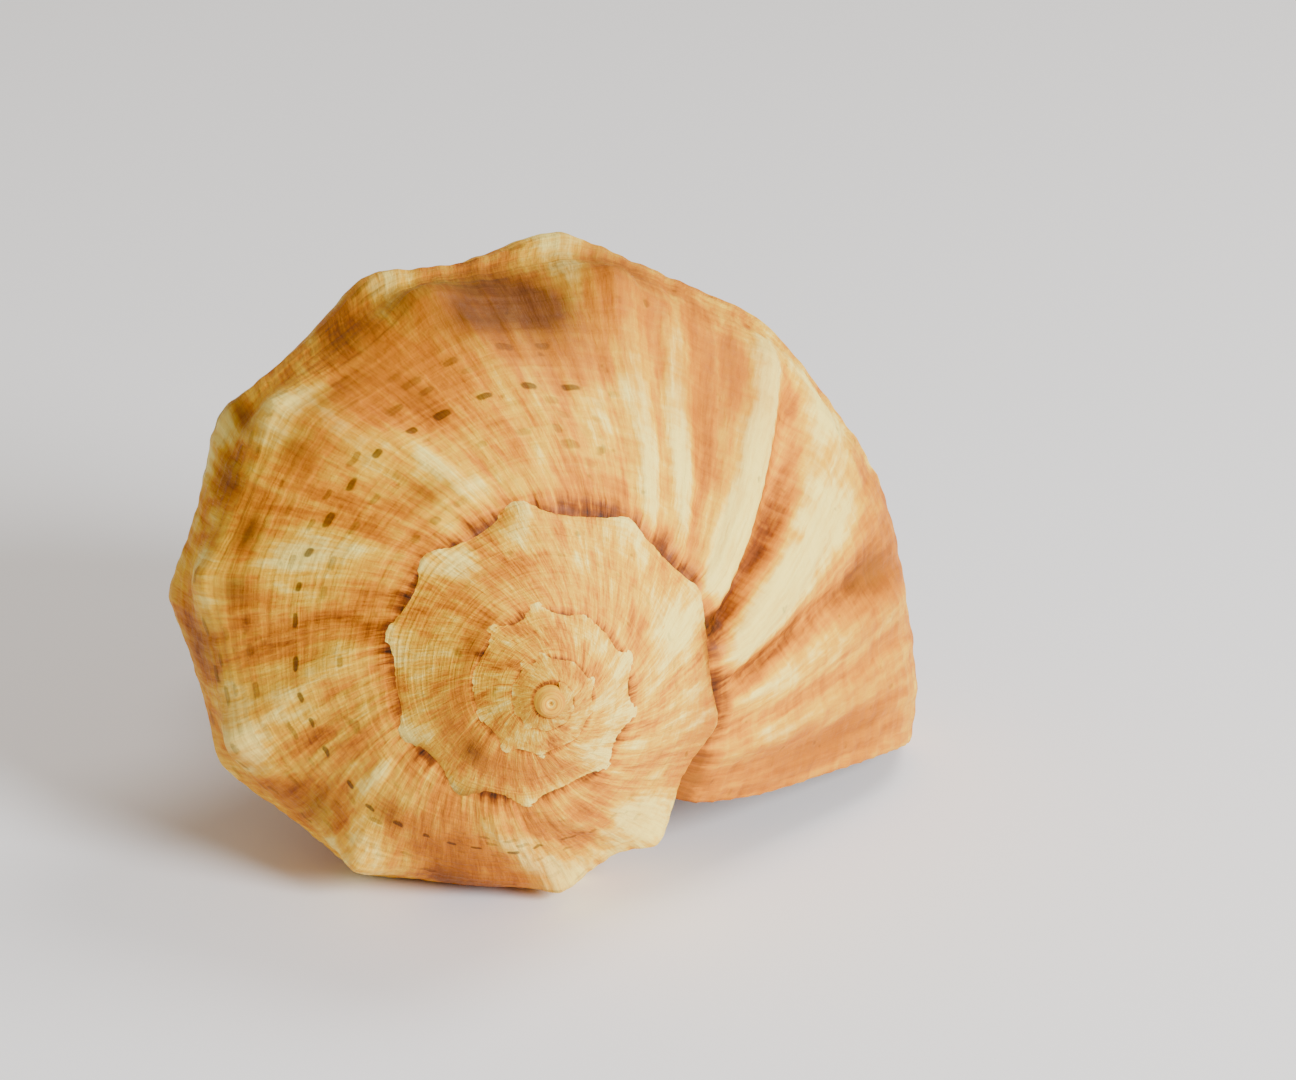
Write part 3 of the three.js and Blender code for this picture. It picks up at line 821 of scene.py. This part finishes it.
def whorl_solid(piece, steps, settings):
    """Solid of about half a turn, with close steps at the very lip."""
    end = -PIECE_TURNS * piece
    turns = np.linspace(end - PIECE_TURNS, end, steps + 1)
    if piece == 0:
        before_lip = turns[turns < -LIP_CLEARANCE * LIP_ROUNDING]
        turns = np.concatenate([before_lip, lip_turns()])
    points, arcs = whorl_sections(turns, settings)
    return new_solid(f"whorl_{piece}", points, turns, arcs)


def chamber_solid(start, end, steps):
    """Cutter for part of the living chamber."""
    turns = np.linspace(start, end, steps + 1)
    if end == CHAMBER_END:
        turns = np.sort(np.concatenate([turns, lip_turns()]))
    points, arcs = chamber_sections(turns)
    return new_solid("chamber", points, turns, arcs)


def turn_of_size(size):
    """Turn at which the shell had a share of its size, by repeated substitution."""
    turn = np.log(size) / RATE
    for _ in range(SUBSTITUTIONS):
        turn = (np.log(size) - LATE_GAIN * (np.exp(LATE_RATE * turn) - 1)) / RATE
    return turn


def apart(angle, other):
    """Difference of two angles, brought into the half turn either way."""
    return np.mod(angle - other + np.pi, 2 * np.pi) - np.pi


def from_keel(depth, angle):
    """Turn that a depth of the column belongs to, and the angle from the keel's crest there."""
    turn = turn_of_size(np.clip(depth / COLUMN_END, SMALLEST_SIZE, 1))
    return turn, apart(angle, LIP_ANGLE - 2 * np.pi * turn + KEEL_LEAD)


def scale_waves(turn, off):
    """Waves of the keel's scales, from -1 to 1: sines along the spiral, slanting across it."""
    return np.sin(2 * np.pi * SCALES_PER_TURN * turn + SCALE_SLANT * off)


def column_radius(depth, angle):
    """Radius of the column: a hyperbolic tangent of the depth, plus bells round the keel, its
    groove and the inner lip, all times a quarter circle at the end."""
    plain = COLUMN_RADIUS * np.tanh(COLUMN_SLOPE * depth / COLUMN_RADIUS)
    past = rise(depth, COLUMN_ROUND_FROM, COLUMN_ROUND_TO)
    turn, off = from_keel(depth, angle)
    shown = ease(turn, *KEEL_FADE_OUT) * ease(turn, *KEEL_FADE_IN)
    keel = (KEEL_HEIGHT + SCALE_HEIGHT * scale_waves(turn, off)) * bump(off, 0, KEEL_WIDTH)
    groove = GROOVE_DEPTH * bump(off, GROOVE_OFFSET, GROOVE_WIDTH)
    beside = bump(apart(angle, INNER_LIP_ANGLE), 0, INNER_LIP_WIDTH)
    inner_lip = INNER_LIP_HEIGHT * beside * ease(depth, *INNER_LIP_RISE)
    return (plain + shown * (keel - groove) + inner_lip) * np.sqrt(1 - past**2)


def column_solid():
    """Central column: rings, closer together towards its end, whose middle bends sideways with
    the square of the depth."""
    share = np.linspace(0, 1, COLUMN_RINGS)[:, None]
    reached = COLUMN_EVENNESS * share + (1 - COLUMN_EVENNESS) * np.sin(np.pi / 2 * share)
    depth = COLUMN_START + (COLUMN_END - COLUMN_START) * reached
    angle = np.linspace(0, 2 * np.pi, COLUMN_SIDES, endpoint=False)[None]
    bend = COLUMN_BEND * (np.maximum(depth - COLUMN_BEND_FROM, 0) / COLUMN_BEND_OVER) ** 2
    radius = column_radius(depth, angle)
    x = bend * math.cos(BEND_ANGLE) + radius * np.cos(angle)
    y = bend * math.sin(BEND_ANGLE) + radius * np.sin(angle)
    points = np.stack([x, y, -depth + 0 * angle], -1)
    arcs = np.broadcast_to(depth * ARC_SCALE + COLUMN_MARK, points.shape[:2])
    return new_solid("column", points, depth[:, 0] * ARC_SCALE, arcs)


def tip_solid():
    """First whorls: a ball whose radius dips at the top pole, for the pit, and swirls a little."""
    polar = np.linspace(TIP_POLE_GAP, np.pi - TIP_POLE_GAP, TIP_RINGS)[:, None]
    angle = np.linspace(0, 2 * np.pi, TIP_SIDES, endpoint=False)[None]
    radius = TIP_RADIUS * (1 - TIP_PIT * np.exp(-((polar / TIP_PIT_REACH) ** 2)))
    swirl = 1 + TIP_SWIRL * np.sin(angle - TIP_SWIRL_LEAN * polar)
    across = radius * np.sin(polar) * swirl
    points = np.stack([
        across * np.cos(angle), across * np.sin(angle),
        radius * np.cos(polar) - TIP_DEPTH + 0 * angle], -1)
    arcs = np.full(points.shape[:2], TIP_ARC)
    return new_solid("tip", points, TIP_TURN - TIP_TURN_SPREAD * polar[:, 0], arcs)


def canal_solid():
    """Cutter for the siphonal canal: a tapered rod beside the column, out through the tip."""
    depth = np.linspace(*CANAL_DEPTHS, CANAL_RINGS)[:, None]
    radius = np.linspace(*CANAL_RADII, CANAL_RINGS)[:, None]
    off_axis = np.linspace(*CANAL_OFF_AXIS, CANAL_RINGS)[:, None]
    angle = np.linspace(0, 2 * np.pi, CANAL_SIDES, endpoint=False)[None]
    middle = placed(off_axis, -depth, np.array(CANAL_TURN))
    around = np.stack([np.cos(angle), np.sin(angle), 0 * angle], -1)
    points = middle + radius[..., None] * around
    arcs = np.broadcast_to(depth * ARC_SCALE + CHAMBER_MARK, points.shape[:2])
    return new_solid("canal", points, depth[:, 0] * 0, arcs)


def below_floor():
    """Cutter for what would reach below the surface: a wide flat block under it."""
    corners = np.array([(-1, -1), (1, -1), (1, 1), (-1, 1)]) * BLOCK_HALF
    vertices = [(x, y, z) for z in (-BLOCK_DEPTH, 0.0) for x, y in corners]
    faces = [(3, 2, 1, 0), (4, 5, 6, 7), (0, 1, 5, 4), (1, 2, 6, 5), (2, 3, 7, 6), (3, 0, 4, 7)]
    mesh = bpy.data.meshes.new("below_floor")
    mesh.from_pydata(vertices, [], faces)
    mesh.uv_layers.new(name=UV_NAME)
    block = bpy.data.objects.new("below_floor", mesh)
    bpy.context.scene.collection.objects.link(block)
    return block


def corner_uvs(mesh):
    """UV of each face corner as an array."""
    values = np.empty(len(mesh.loops) * 2, np.float32)
    mesh.uv_layers[UV_NAME].uv.foreach_get("vector", values)
    return values.reshape(-1, 2)


# Places of colour: turn, row, reach in turns, reach in rows, strength.
GOLD_PLACES = (
    (-0.195, 5.0, 0.014, 0.9, 1.0),
    (-0.24, 6.2, 0.02, 1.0, 0.8),
    (-0.34, 5.6, 0.03, 0.8, 0.7),
    (-0.4, 4.7, 0.04, 0.5, 0.7),
    (-0.3, 4.5, 0.05, 0.4, 0.5),
    (-0.79, 5.0, 0.035, 1.1, 0.9),
    (-0.745, 4.0, 0.018, 0.5, 0.6),
    (-0.88, 3.4, 0.03, 0.8, 0.5),
    (-0.62, 6.2, 0.03, 0.8, 0.5),
    (-0.37, 7.2, 0.018, 0.9, 0.8),
    (-0.06, 5.6, 0.012, 0.9, 0.6),
    (-0.02, 3.6, 0.014, 1.6, 1.0),
    (-0.085, 6.2, 0.014, 0.9, 0.6),
    (-1.74, 3.3, 0.05, 0.6, 0.9),
    (-1.62, 3.1, 0.05, 0.6, 0.6),
    (-1.4, 3.8, 0.03, 0.5, 0.5),
    (-1.86, 3.4, 0.04, 0.9, 0.6),
    (-1.0, 5.6, 0.03, 0.8, 0.9),
)
STAIN_PLACES = (
    (-0.305, 6.1, 0.024, 0.9, 1.0),
    (-0.28, 5.3, 0.014, 0.5, 0.8),
    (-0.318, 5.2, 0.012, 0.3, 0.5),
    (-0.245, 6.9, 0.014, 0.7, 0.5),
    (-0.482, 5.2, 0.01, 0.22, 0.9),
    (-0.512, 5.1, 0.008, 0.3, 0.8),
    (-0.457, 6.6, 0.008, 0.5, 0.6),
    (-0.4, 5.3, 0.016, 0.25, 0.6),
    (-0.43, 5.0, 0.008, 0.3, 0.6),
    (-0.372, 6.9, 0.008, 0.8, 0.6),
    (-0.431, 7.5, 0.004, 0.9, 0.7),
    (-0.415, 3.0, 0.012, 0.2, 0.5),
    (-0.545, 6.8, 0.014, 0.9, 0.5),
    (-0.655, 5.2, 0.012, 0.7, 0.6),
    (-0.7, 3.8, 0.01, 0.3, 0.6),
    (-0.765, 6.0, 0.014, 0.6, 0.5),
    (-1.7, 3.4, 0.018, 0.4, 0.7),
    (-1.72, 5.8, 0.02, 0.7, 0.7),
    (-1.64, 5.9, 0.02, 0.7, 0.8),
    (-1.5, 2.6, 0.04, 0.3, 0.5),
    (-1.33, 5.6, 0.02, 0.6, 0.4),
    (-1.06, 6.2, 0.02, 0.6, 0.8),
)
CREAM_PLACES = (
    (-0.171, 4.6, 0.005, 2.2, 1.0),
    (-0.15, 5.4, 0.012, 1.2, 0.6),
    (-0.112, 4.0, 0.009, 1.2, 1.0),
    (-0.045, 5.8, 0.01, 1.0, 0.8),
    (-0.165, 2.9, 0.012, 0.6, 0.8),
    (-0.245, 2.7, 0.018, 0.5, 0.8),
    (-0.22, 3.6, 0.014, 0.8, 0.5),
    (-0.268, 6.6, 0.006, 1.2, 0.6),
    (-0.41, 6.2, 0.006, 1.0, 0.5),
    (-0.35, 2.8, 0.04, 0.5, 0.4),
    (-0.92, 4.6, 0.018, 0.6, 1.0),
    (-0.83, 4.4, 0.01, 0.8, 0.6),
    (-0.6, 5.6, 0.01, 0.4, 0.6),
    (-1.02, 4.6, 0.03, 0.6, 0.8),
    (-1.12, 4.2, 0.03, 0.5, 0.8),
    (-1.32, 4.6, 0.014, 0.5, 0.9),
    (-1.4, 4.7, 0.016, 0.5, 0.9),
    (-1.24, 4.8, 0.01, 0.6, 0.6),
    (-1.96, 4.2, 0.04, 1.2, 0.8),
    (-2.08, 3.6, 0.03, 1.0, 0.6),
)


def place_weight(turn, row, places):
    """Sum of soft spots: a bell along the spiral times a bell across the rows for each."""
    total = sum(
        strength * bump(turn, centre, reach) * bump(row, middle, across)
        for centre, middle, reach, across, strength in places)
    return np.clip(total, 0, 1)


def corner_places(mesh):
    """Depth and angle round the axis of each face corner, in the shell's own frame."""
    places = np.empty(len(mesh.vertices) * 3, np.float32)
    mesh.vertices.foreach_get("co", places)
    corners = np.empty(len(mesh.loops), np.int32)
    mesh.loops.foreach_get("vertex_index", corners)
    own = (places.reshape(-1, 3) / MM - np.array(APEX_PLACE)) @ np.array(lying_matrix())
    own = own[corners]
    return -own[:, 2], np.arctan2(own[:, 1], own[:, 0])


def colour_attributes(mesh):
    """Corner attributes for the finish: weights of the gold, stained and cream places, relief
    against the plain growth line, partly painted highlight on crests and painted shade in
    grooves, and where the outside is glazed by the inner lip."""
    uvs = corner_uvs(mesh)
    turn = uvs[:, 0]
    arc = np.minimum(uvs[:, 1], CHAMBER_MARK - 1) / ARC_SCALE
    row = row_of(arc)
    # Relief turned into lightness: knobs, ribs and fold crests lighter as painted highlight, fold
    # grooves darker as painted shade, over the shell's own paler knobs and darker grooves.
    relief = knob_relief(turn, row) + FOLD_SHADE * fold_relief(turn, row, FOLDS)
    relief = relief + FINE_FOLD_SHADE * fold_relief(turn, row, FINE_FOLDS)
    relief = relief + RIB_SHADE * rib_relief(turn, row)
    lightness = np.clip(0.5 + relief / PAINTED_RELIEF_RANGE, 0, 1)
    gold, stain, cream = (
        place_weight(turn, row, places) for places in (GOLD_PLACES, STAIN_PLACES, CREAM_PLACES))
    glaze = ease(turn, *GLAZE_START) * ease(turn, *GLAZE_END) * ease(row, *GLAZE_ROWS)
    on_column = uvs[:, 1] > COLUMN_MARK - 1
    depth, angle = corner_places(mesh)
    keel_turn, off = from_keel(depth, angle)
    banded = 0.5 + 0.5 * scale_waves(keel_turn, off)
    keel_gold = KEEL_GOLD * banded * bump(off, 0, KEEL_GOLD_WIDTH)
    keel_cream = KEEL_CREAM * (1 - KEEL_CREAM_BANDS * banded) * bump(off, 0, KEEL_CREAM_WIDTH)
    groove_stain = GROOVE_STAIN + GROOVE_STAIN_BANDS * banded
    groove_stain = groove_stain * bump(off, GROOVE_OFFSET, GROOVE_STAIN_WIDTH)
    beside = bump(apart(angle, INNER_LIP_ANGLE - COLUMN_GLAZE_LEAD), 0, COLUMN_GLAZE_WIDTH)
    gold = np.where(on_column, keel_gold, gold)
    stain = np.where(on_column, groove_stain, stain)
    cream = np.where(on_column, keel_cream, cream)
    lightness = np.where(on_column, COLUMN_LIGHTNESS, lightness)
    glaze = np.where(on_column, ease(beside, *COLUMN_GLAZE), glaze)
    values = np.stack([gold, stain, cream, lightness], -1)
    attribute = mesh.attributes.new("places", "FLOAT_COLOR", "CORNER")
    attribute.data.foreach_set("color", values.astype(np.float32).ravel())
    attribute = mesh.attributes.new("glaze", "FLOAT", "CORNER")
    attribute.data.foreach_set("value", glaze.astype(np.float32))


def faces_by_finish(mesh):
    """Material index of each face from its first corner's UV: 0 outside, 1 glazed inside."""
    uvs = corner_uvs(mesh)
    starts = np.empty(len(mesh.polygons), np.int32)
    mesh.polygons.foreach_get("loop_start", starts)
    marks = uvs[starts, 1]
    inside = (marks > CHAMBER_MARK - 1) & (marks < COLUMN_MARK - 1)
    mesh.polygons.foreach_set("material_index", inside.astype(np.int32))


class Wiring:
    """Adds and links shader nodes by name, so that a finish reads as a list of steps."""

    def __init__(self, name):
        self.material = bpy.data.materials.new(name)
        self.material.use_nodes = True
        self.tree = self.material.node_tree
        self.tree.nodes.clear()

    def node(self, kind, **settings):
        made = self.tree.nodes.new(kind)
        for key, value in settings.items():
            setattr(made, key, value)
        return made

    def link(self, source, target):
        """Link a socket, or set a plain value, on an input socket."""
        if isinstance(source, bpy.types.NodeSocket):
            self.tree.links.new(source, target)
        else:
            target.default_value = source

    def maths(self, operation, *values):
        made = self.node("ShaderNodeMath", operation=operation)
        for index, value in enumerate(values):
            self.link(value, made.inputs[index])
        return made.outputs[0]

    def times(self, *values):
        """Product of all the values."""
        total = values[0]
        for value in values[1:]:
            total = self.maths("MULTIPLY", total, value)
        return total

    def vector(self, x, y):
        made = self.node("ShaderNodeCombineXYZ")
        for socket, value in zip(made.inputs, (x, y)):
            self.link(value, socket)
        return made.outputs[0]

    def growth(self):
        """Turn, and distance along the growth line in decimetres at the lip's size."""
        parts = self.node("ShaderNodeSeparateXYZ")
        self.link(self.node("ShaderNodeUVMap", uv_map=UV_NAME).outputs[0], parts.inputs[0])
        return parts.outputs[0], parts.outputs[1]

    def place(self):
        """Place in the object's frame, in metres."""
        return self.node("ShaderNodeTexCoord").outputs["Object"]

    def noise(self, vector, scale, detail, roughness, distortion=0.0):
        made = self.node("ShaderNodeTexNoise")
        self.link(vector, made.inputs["Vector"])
        made.inputs["Scale"].default_value = scale
        made.inputs["Detail"].default_value = detail
        made.inputs["Roughness"].default_value = roughness
        made.inputs["Distortion"].default_value = distortion
        return made.outputs["Fac"]

    def streaks(self, turn, arc, per_turn, per_arc, **settings):
        """Noise drawn out along the growth lines."""
        stretched = self.vector(self.times(turn, per_turn), self.times(arc, per_arc))
        return self.noise(stretched, 1.0, **settings)

    def between(self, value, low, high, new_low=0.0, new_high=1.0):
        """Value carried from one range to another and held inside it, along a smooth step."""
        made = self.node("ShaderNodeMapRange", interpolation_type="SMOOTHSTEP")
        for socket, item in zip(made.inputs, (value, low, high, new_low, new_high)):
            self.link(item, socket)
        return made.outputs[0]

    def mix(self, factor, first, second, blend="MIX"):
        made = self.node("ShaderNodeMix", data_type="RGBA", blend_type=blend)
        made.clamp_factor = True
        self.link(factor, made.inputs["Factor"])
        for name, value in (("A", first), ("B", second)):
            target = [s for s in made.inputs if s.name == name and s.type == "RGBA"][0]
            self.link(value if isinstance(value, bpy.types.NodeSocket) else (*value, 1.0), target)
        return [s for s in made.outputs if s.type == "RGBA"][0]

    def ramp(self, value, stops):
        """Colour at a value, from rising stops of position and colour."""
        made = self.node("ShaderNodeValToRGB")
        elements = made.color_ramp.elements
        elements.remove(elements[1])
        for index, (position, colour) in enumerate(stops):
            element = elements.new(position) if index else elements[0]
            element.position = position
            element.color = (*colour, 1.0)
        self.link(value, made.inputs[0])
        return made.outputs[0]

    def weighted(self, terms, weights, start=0.0):
        """Start plus each named term times its weight."""
        total = start
        for name, weight in weights.items():
            total = self.maths("MULTIPLY_ADD", terms[name], weight, total)
        return total

    def finish(self, colour, roughness, bump_height, bump_distance, specular, coat):
        shader = self.node("ShaderNodeBsdfPrincipled")
        relief = self.node("ShaderNodeBump")
        relief.inputs["Strength"].default_value = BUMP_STRENGTH
        relief.inputs["Distance"].default_value = bump_distance
        self.link(bump_height, relief.inputs["Height"])
        self.link(relief.outputs[0], shader.inputs["Normal"])
        self.link(colour, shader.inputs["Base Color"])
        self.link(roughness, shader.inputs["Roughness"])
        shader.inputs["Specular IOR Level"].default_value = specular
        shader.inputs["Coat Weight"].default_value = coat
        shader.inputs["Coat Roughness"].default_value = COAT_ROUGHNESS
        output = self.node("ShaderNodeOutputMaterial")
        self.link(shader.outputs[0], output.inputs["Surface"])
        return self.material


def dash_weight(w, turn, arc, mottle):
    """Dashes on the cords: a soft stripe along each cord times a beat along the spiral, cut to
    rounded spots, full on the main cord, weaker on a few others and faint on early growth."""
    cord = w.maths("SUBTRACT", arc, CORD_START * ARC_SCALE)
    cord = w.maths("DIVIDE", cord, CORD_SPACING * ARC_SCALE)
    index = w.maths("FLOOR", w.maths("ADD", cord, 0.5))
    off_cord = w.maths("ABSOLUTE", w.maths("SUBTRACT", cord, index))
    wavering = w.maths("MULTIPLY_ADD", w.maths("SUBTRACT", mottle, 0.5), DASH_WAVER, off_cord)
    stripe = w.between(wavering, *DASH_WIDTH)
    shift = w.vector(w.times(turn, SHIFT_PER_TURN), w.times(index, SHIFT_PER_CORD))
    shift = w.noise(shift, **SHIFT_NOISE)
    choice = w.vector(w.times(index, CHOICE_PER_CORD), w.times(turn, CHOICE_PER_TURN))
    choice = w.noise(choice, **CHOICE_NOISE)
    phase = w.times(turn, 2 * math.pi * DASHES_PER_TURN)
    phase = w.maths("MULTIPLY_ADD", index, DASH_CORD_PHASE, phase)
    phase = w.maths("MULTIPLY_ADD", shift, DASH_SHIFT, phase)
    beat = w.between(w.maths("SINE", phase), *DASH_BEAT)
    spots = w.between(w.times(stripe, beat), *DASH_EDGE)
    main_cord = w.between(w.maths("ABSOLUTE", cord), *MAIN_CORD)
    chosen = w.maths("MAXIMUM", w.between(choice, *CHOSEN_CORDS), main_cord)
    return w.times(spots, chosen, w.between(turn, *DASH_FADE_IN), w.between(turn, *DASH_FAINT))


def outside_finish(settings):
    """Chalky outside. A lightness is summed from growth streaks, bands, clouds, relief and the
    coloured places, and a ramp turns it into colour, from umber over ochre to pale cream; the
    relief is partly painted highlight on crests and painted shade in grooves, and a painted shade
    runs along the suture. Short dark dashes sit on some of the spiral cords."""
    w = Wiring("chalky outside")
    turn, arc = w.growth()
    coordinates = w.place()
    places = w.node("ShaderNodeAttribute", attribute_name="places")
    weights = w.node("ShaderNodeSeparateColor")
    w.link(places.outputs["Color"], weights.inputs[0])
    gold, stain, cream = weights.outputs
    glaze = w.node("ShaderNodeAttribute", attribute_name="glaze").outputs["Fac"]
    cloud = w.noise(coordinates, **CLOUD)
    mottle = w.noise(coordinates, **MOTTLE)
    grain = w.noise(coordinates, **GRAIN)
    streak = w.streaks(turn, arc, **STREAK)
    hair = w.streaks(turn, arc, **HAIR)
    cord_streak = w.streaks(turn, arc, **CORD_STREAK)
    terms = {
        "band": w.streaks(turn, arc, **BAND), "streak": streak, "hair": hair, "cloud": cloud,
        "mottle": mottle, "grain": grain, "cord_streak": cord_streak,
        # Relief: partly painted highlight on crests and painted shade in fold grooves.
        "relief": places.outputs["Alpha"],
        "newest": w.between(turn, *NEWEST_GROWTH), "spire": w.between(turn, *SPIRE),
        "gold": gold, "stain": stain, "cream": cream,
        # Painted shade along the suture's groove, darkest next to it and fading over a few
        # millimetres.
        "suture": w.between(w.maths("MULTIPLY_ADD", streak, SUTURE_WAVER, arc), *SUTURE_SHADE_FADE),
    }
    lightness = w.weighted(terms, LIGHTNESS_WEIGHTS, LIGHTNESS_START)
    colour = w.ramp(
        lightness, [(stop, getattr(settings, name)) for name, stop in COLOUR_STOPS.items()])
    colour = w.mix(w.times(gold, w.between(streak, *GOLD_BY_STREAK)), colour, settings.ochre)
    stained = w.maths("MULTIPLY_ADD", streak, STAIN_STREAK_WEIGHT, cloud)
    stained = w.between(stained, *STAIN_BY_CLOUD)
    colour = w.mix(w.times(stain, stained, STAIN_COVER), colour, settings.stain)
    dashes = dash_weight(w, turn, arc, mottle)
    colour = w.mix(w.times(dashes, DASH_COVER), colour, settings.umber)
    speck = w.between(w.noise(coordinates, **SPECK), *SPECK_COVER)
    colour = w.mix(speck, colour, settings.umber)
    uneven = w.weighted(terms, SHADE_WEIGHTS)
    shade = w.mix(w.between(uneven, *SHADE_RANGE), SHADE_COLOUR, (1.0, 1.0, 1.0))
    colour = w.mix(SHADE_COVER, colour, shade, "MULTIPLY")
    glazed = w.mix(w.between(cloud, *GLAZE_CLOUDS), settings.chamber, settings.cream)
    colour = w.mix(w.times(glaze, GLAZE_COVER), colour, glazed)
    height = w.times(w.weighted(terms, BUMP_WEIGHTS), w.between(glaze, *GLAZED_BUMP))
    roughness = w.times(w.between(grain, *CHALKY_ROUGHNESS), w.between(glaze, *GLAZED_GLOSS))
    return w.finish(colour, roughness, height, **OUTSIDE_GLOSS)


def chamber_finish(settings):
    """Glazed orange inside, paler towards the lip and streaked along the growth lines."""
    w = Wiring("glazed inside")
    turn, arc = w.growth()
    streak = w.streaks(turn, arc, **INSIDE_STREAK)
    cloud = w.noise(w.place(), **INSIDE_CLOUD)
    colour = w.mix(w.between(streak, *PALE_STREAKS), settings.chamber, settings.cream)
    colour = w.mix(w.between(cloud, *RUST_CLOUDS), colour, settings.rust)
    colour = w.mix(w.between(turn, *PALE_LIP), colour, settings.cream)
    roughness = w.between(streak, *GLAZED_ROUGHNESS)
    return w.finish(colour, roughness, streak, **INSIDE_GLOSS)


class WHELK_OT_shell(bpy.types.Operator):
    """Grow the whole shell as one closed solid and give it its finish"""

    bl_idname = "whelk.shell"
    bl_label = "Shell"

    def execute(self, context):
        settings = context.scene.whelk_shell
        shell = column_solid()
        for piece, steps in enumerate(PIECE_STEPS):
            combine(shell, whorl_solid(piece, steps, settings), "UNION")
        combine(shell, tip_solid(), "UNION")
        inner_steps, outer_steps = CHAMBER_STEPS
        chamber = chamber_solid(CHAMBER_START, CHAMBER_MIDDLE, inner_steps)
        combine(chamber, chamber_solid(CHAMBER_MIDDLE, CHAMBER_END, outer_steps), "UNION")
        combine(shell, chamber, "DIFFERENCE")
        combine(shell, canal_solid(), "DIFFERENCE")
        combine(shell, below_floor(), "DIFFERENCE")
        keep_largest(shell)
        shell.name = "shell_surface"
        mesh = shell.data
        mesh.name = "shell_surface"
        mesh.materials.clear()
        mesh.materials.append(outside_finish(settings))
        mesh.materials.append(chamber_finish(settings))
        colour_attributes(mesh)
        faces_by_finish(mesh)
        mesh.shade_smooth()
        mesh.set_sharp_from_angle(angle=SHARP_ANGLE)
        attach(shell, "root")
        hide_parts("shell")
        return {"FINISHED"}


def floor_finish(colour):
    """Plain matt floor with a very faint unevenness."""
    w = Wiring("plain floor")
    faint = w.noise(w.place(), **FLOOR_NOISE)
    darker = [FLOOR_SHADE * value for value in colour]
    colour = w.mix(faint, colour, darker)
    return w.finish(colour, FLOOR_ROUGHNESS, faint, **FLOOR_GLOSS)


class WHELK_OT_stage(bpy.types.Operator):
    """Lay the plain floor, set the soft lights and stand the camera at the viewing angle"""

    bl_idname = "whelk.stage"
    bl_label = "Floor, Light and Camera"

    def execute(self, context):
        settings = context.scene.whelk_stage
        half = settings.floor_size / 2
        mesh = bpy.data.meshes.new("floor")
        corners = [(-half, -half, 0), (half, -half, 0), (half, half, 0), (-half, half, 0)]
        mesh.from_pydata(corners, [], [(0, 1, 2, 3)])
        mesh.materials.append(floor_finish(tuple(settings.floor_colour)))
        floor = bpy.data.objects.new("floor", mesh)
        context.scene.collection.objects.link(floor)
        self.area_light(context, "key", settings.key_power, **KEY_LIGHT)
        self.area_light(context, "top_fill", settings.key_power, **TOP_FILL)
        world = bpy.data.worlds.new("even light")
        world.use_nodes = True
        background = world.node_tree.nodes["Background"]
        background.inputs["Color"].default_value = WORLD_COLOUR
        background.inputs["Strength"].default_value = settings.fill_strength
        context.scene.world = world
        self.camera(context)
        return {"FINISHED"}

    def area_light(self, context, name, key_power, place, size, share, colour):
        light = bpy.data.lights.new(name, "AREA")
        light.shape = "DISK"
        light.size = size
        light.energy = key_power * share
        light.color = colour
        lamp = bpy.data.objects.new(name, light)
        lamp.location = place
        aim = LIGHT_AIM - lamp.location
        lamp.rotation_euler = aim.to_track_quat("-Z", "Y").to_euler()
        context.scene.collection.objects.link(lamp)

    def camera(self, context):
        lens = bpy.data.cameras.new("camera")
        lens.lens = CAMERA_LENS
        lens.sensor_width = CAMERA_SENSOR
        lens.sensor_fit = "HORIZONTAL"
        lens.clip_start = CAMERA_NEAR
        camera = bpy.data.objects.new("camera", lens)
        offset = viewer_matrix() @ Vector((CAMERA_RIGHT, CAMERA_UP, CAMERA_DISTANCE))
        camera.location = APEX_PLACE * MM + offset
        camera.rotation_euler = (math.pi / 2 - VIEW_ELEVATION, 0, 0)
        context.scene.collection.objects.link(camera)
        context.scene.camera = camera


class WHELK_PT_panel(bpy.types.Panel):
    """Sidebar panel with the shell's sizes and colours"""

    bl_idname = "WHELK_PT_panel"
    bl_label = "Whelk Shell"
    bl_space_type = "VIEW_3D"
    bl_region_type = "UI"
    bl_category = "Whelk Shell"

    def draw(self, context):
        layout = self.layout
        for settings, operator in (
            (context.scene.whelk_shell, WHELK_OT_shell),
            (context.scene.whelk_stage, WHELK_OT_stage),
        ):
            box = layout.box()
            for name in settings.__annotations__:
                box.prop(settings, name)
            box.operator(operator.bl_idname)


CLASSES = (WhelkShellSettings, WhelkStageSettings, WHELK_OT_shell, WHELK_OT_stage, WHELK_PT_panel)


def register():
    for item in CLASSES:
        bpy.utils.register_class(item)
    bpy.types.Scene.whelk_shell = PointerProperty(type=WhelkShellSettings)
    bpy.types.Scene.whelk_stage = PointerProperty(type=WhelkStageSettings)


def unregister():
    del bpy.types.Scene.whelk_stage
    del bpy.types.Scene.whelk_shell
    for item in reversed(CLASSES):
        bpy.utils.unregister_class(item)


def main():
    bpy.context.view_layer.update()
    register()
    bpy.ops.whelk.shell()
    bpy.ops.whelk.stage()


if __name__ == "__main__":
    main()
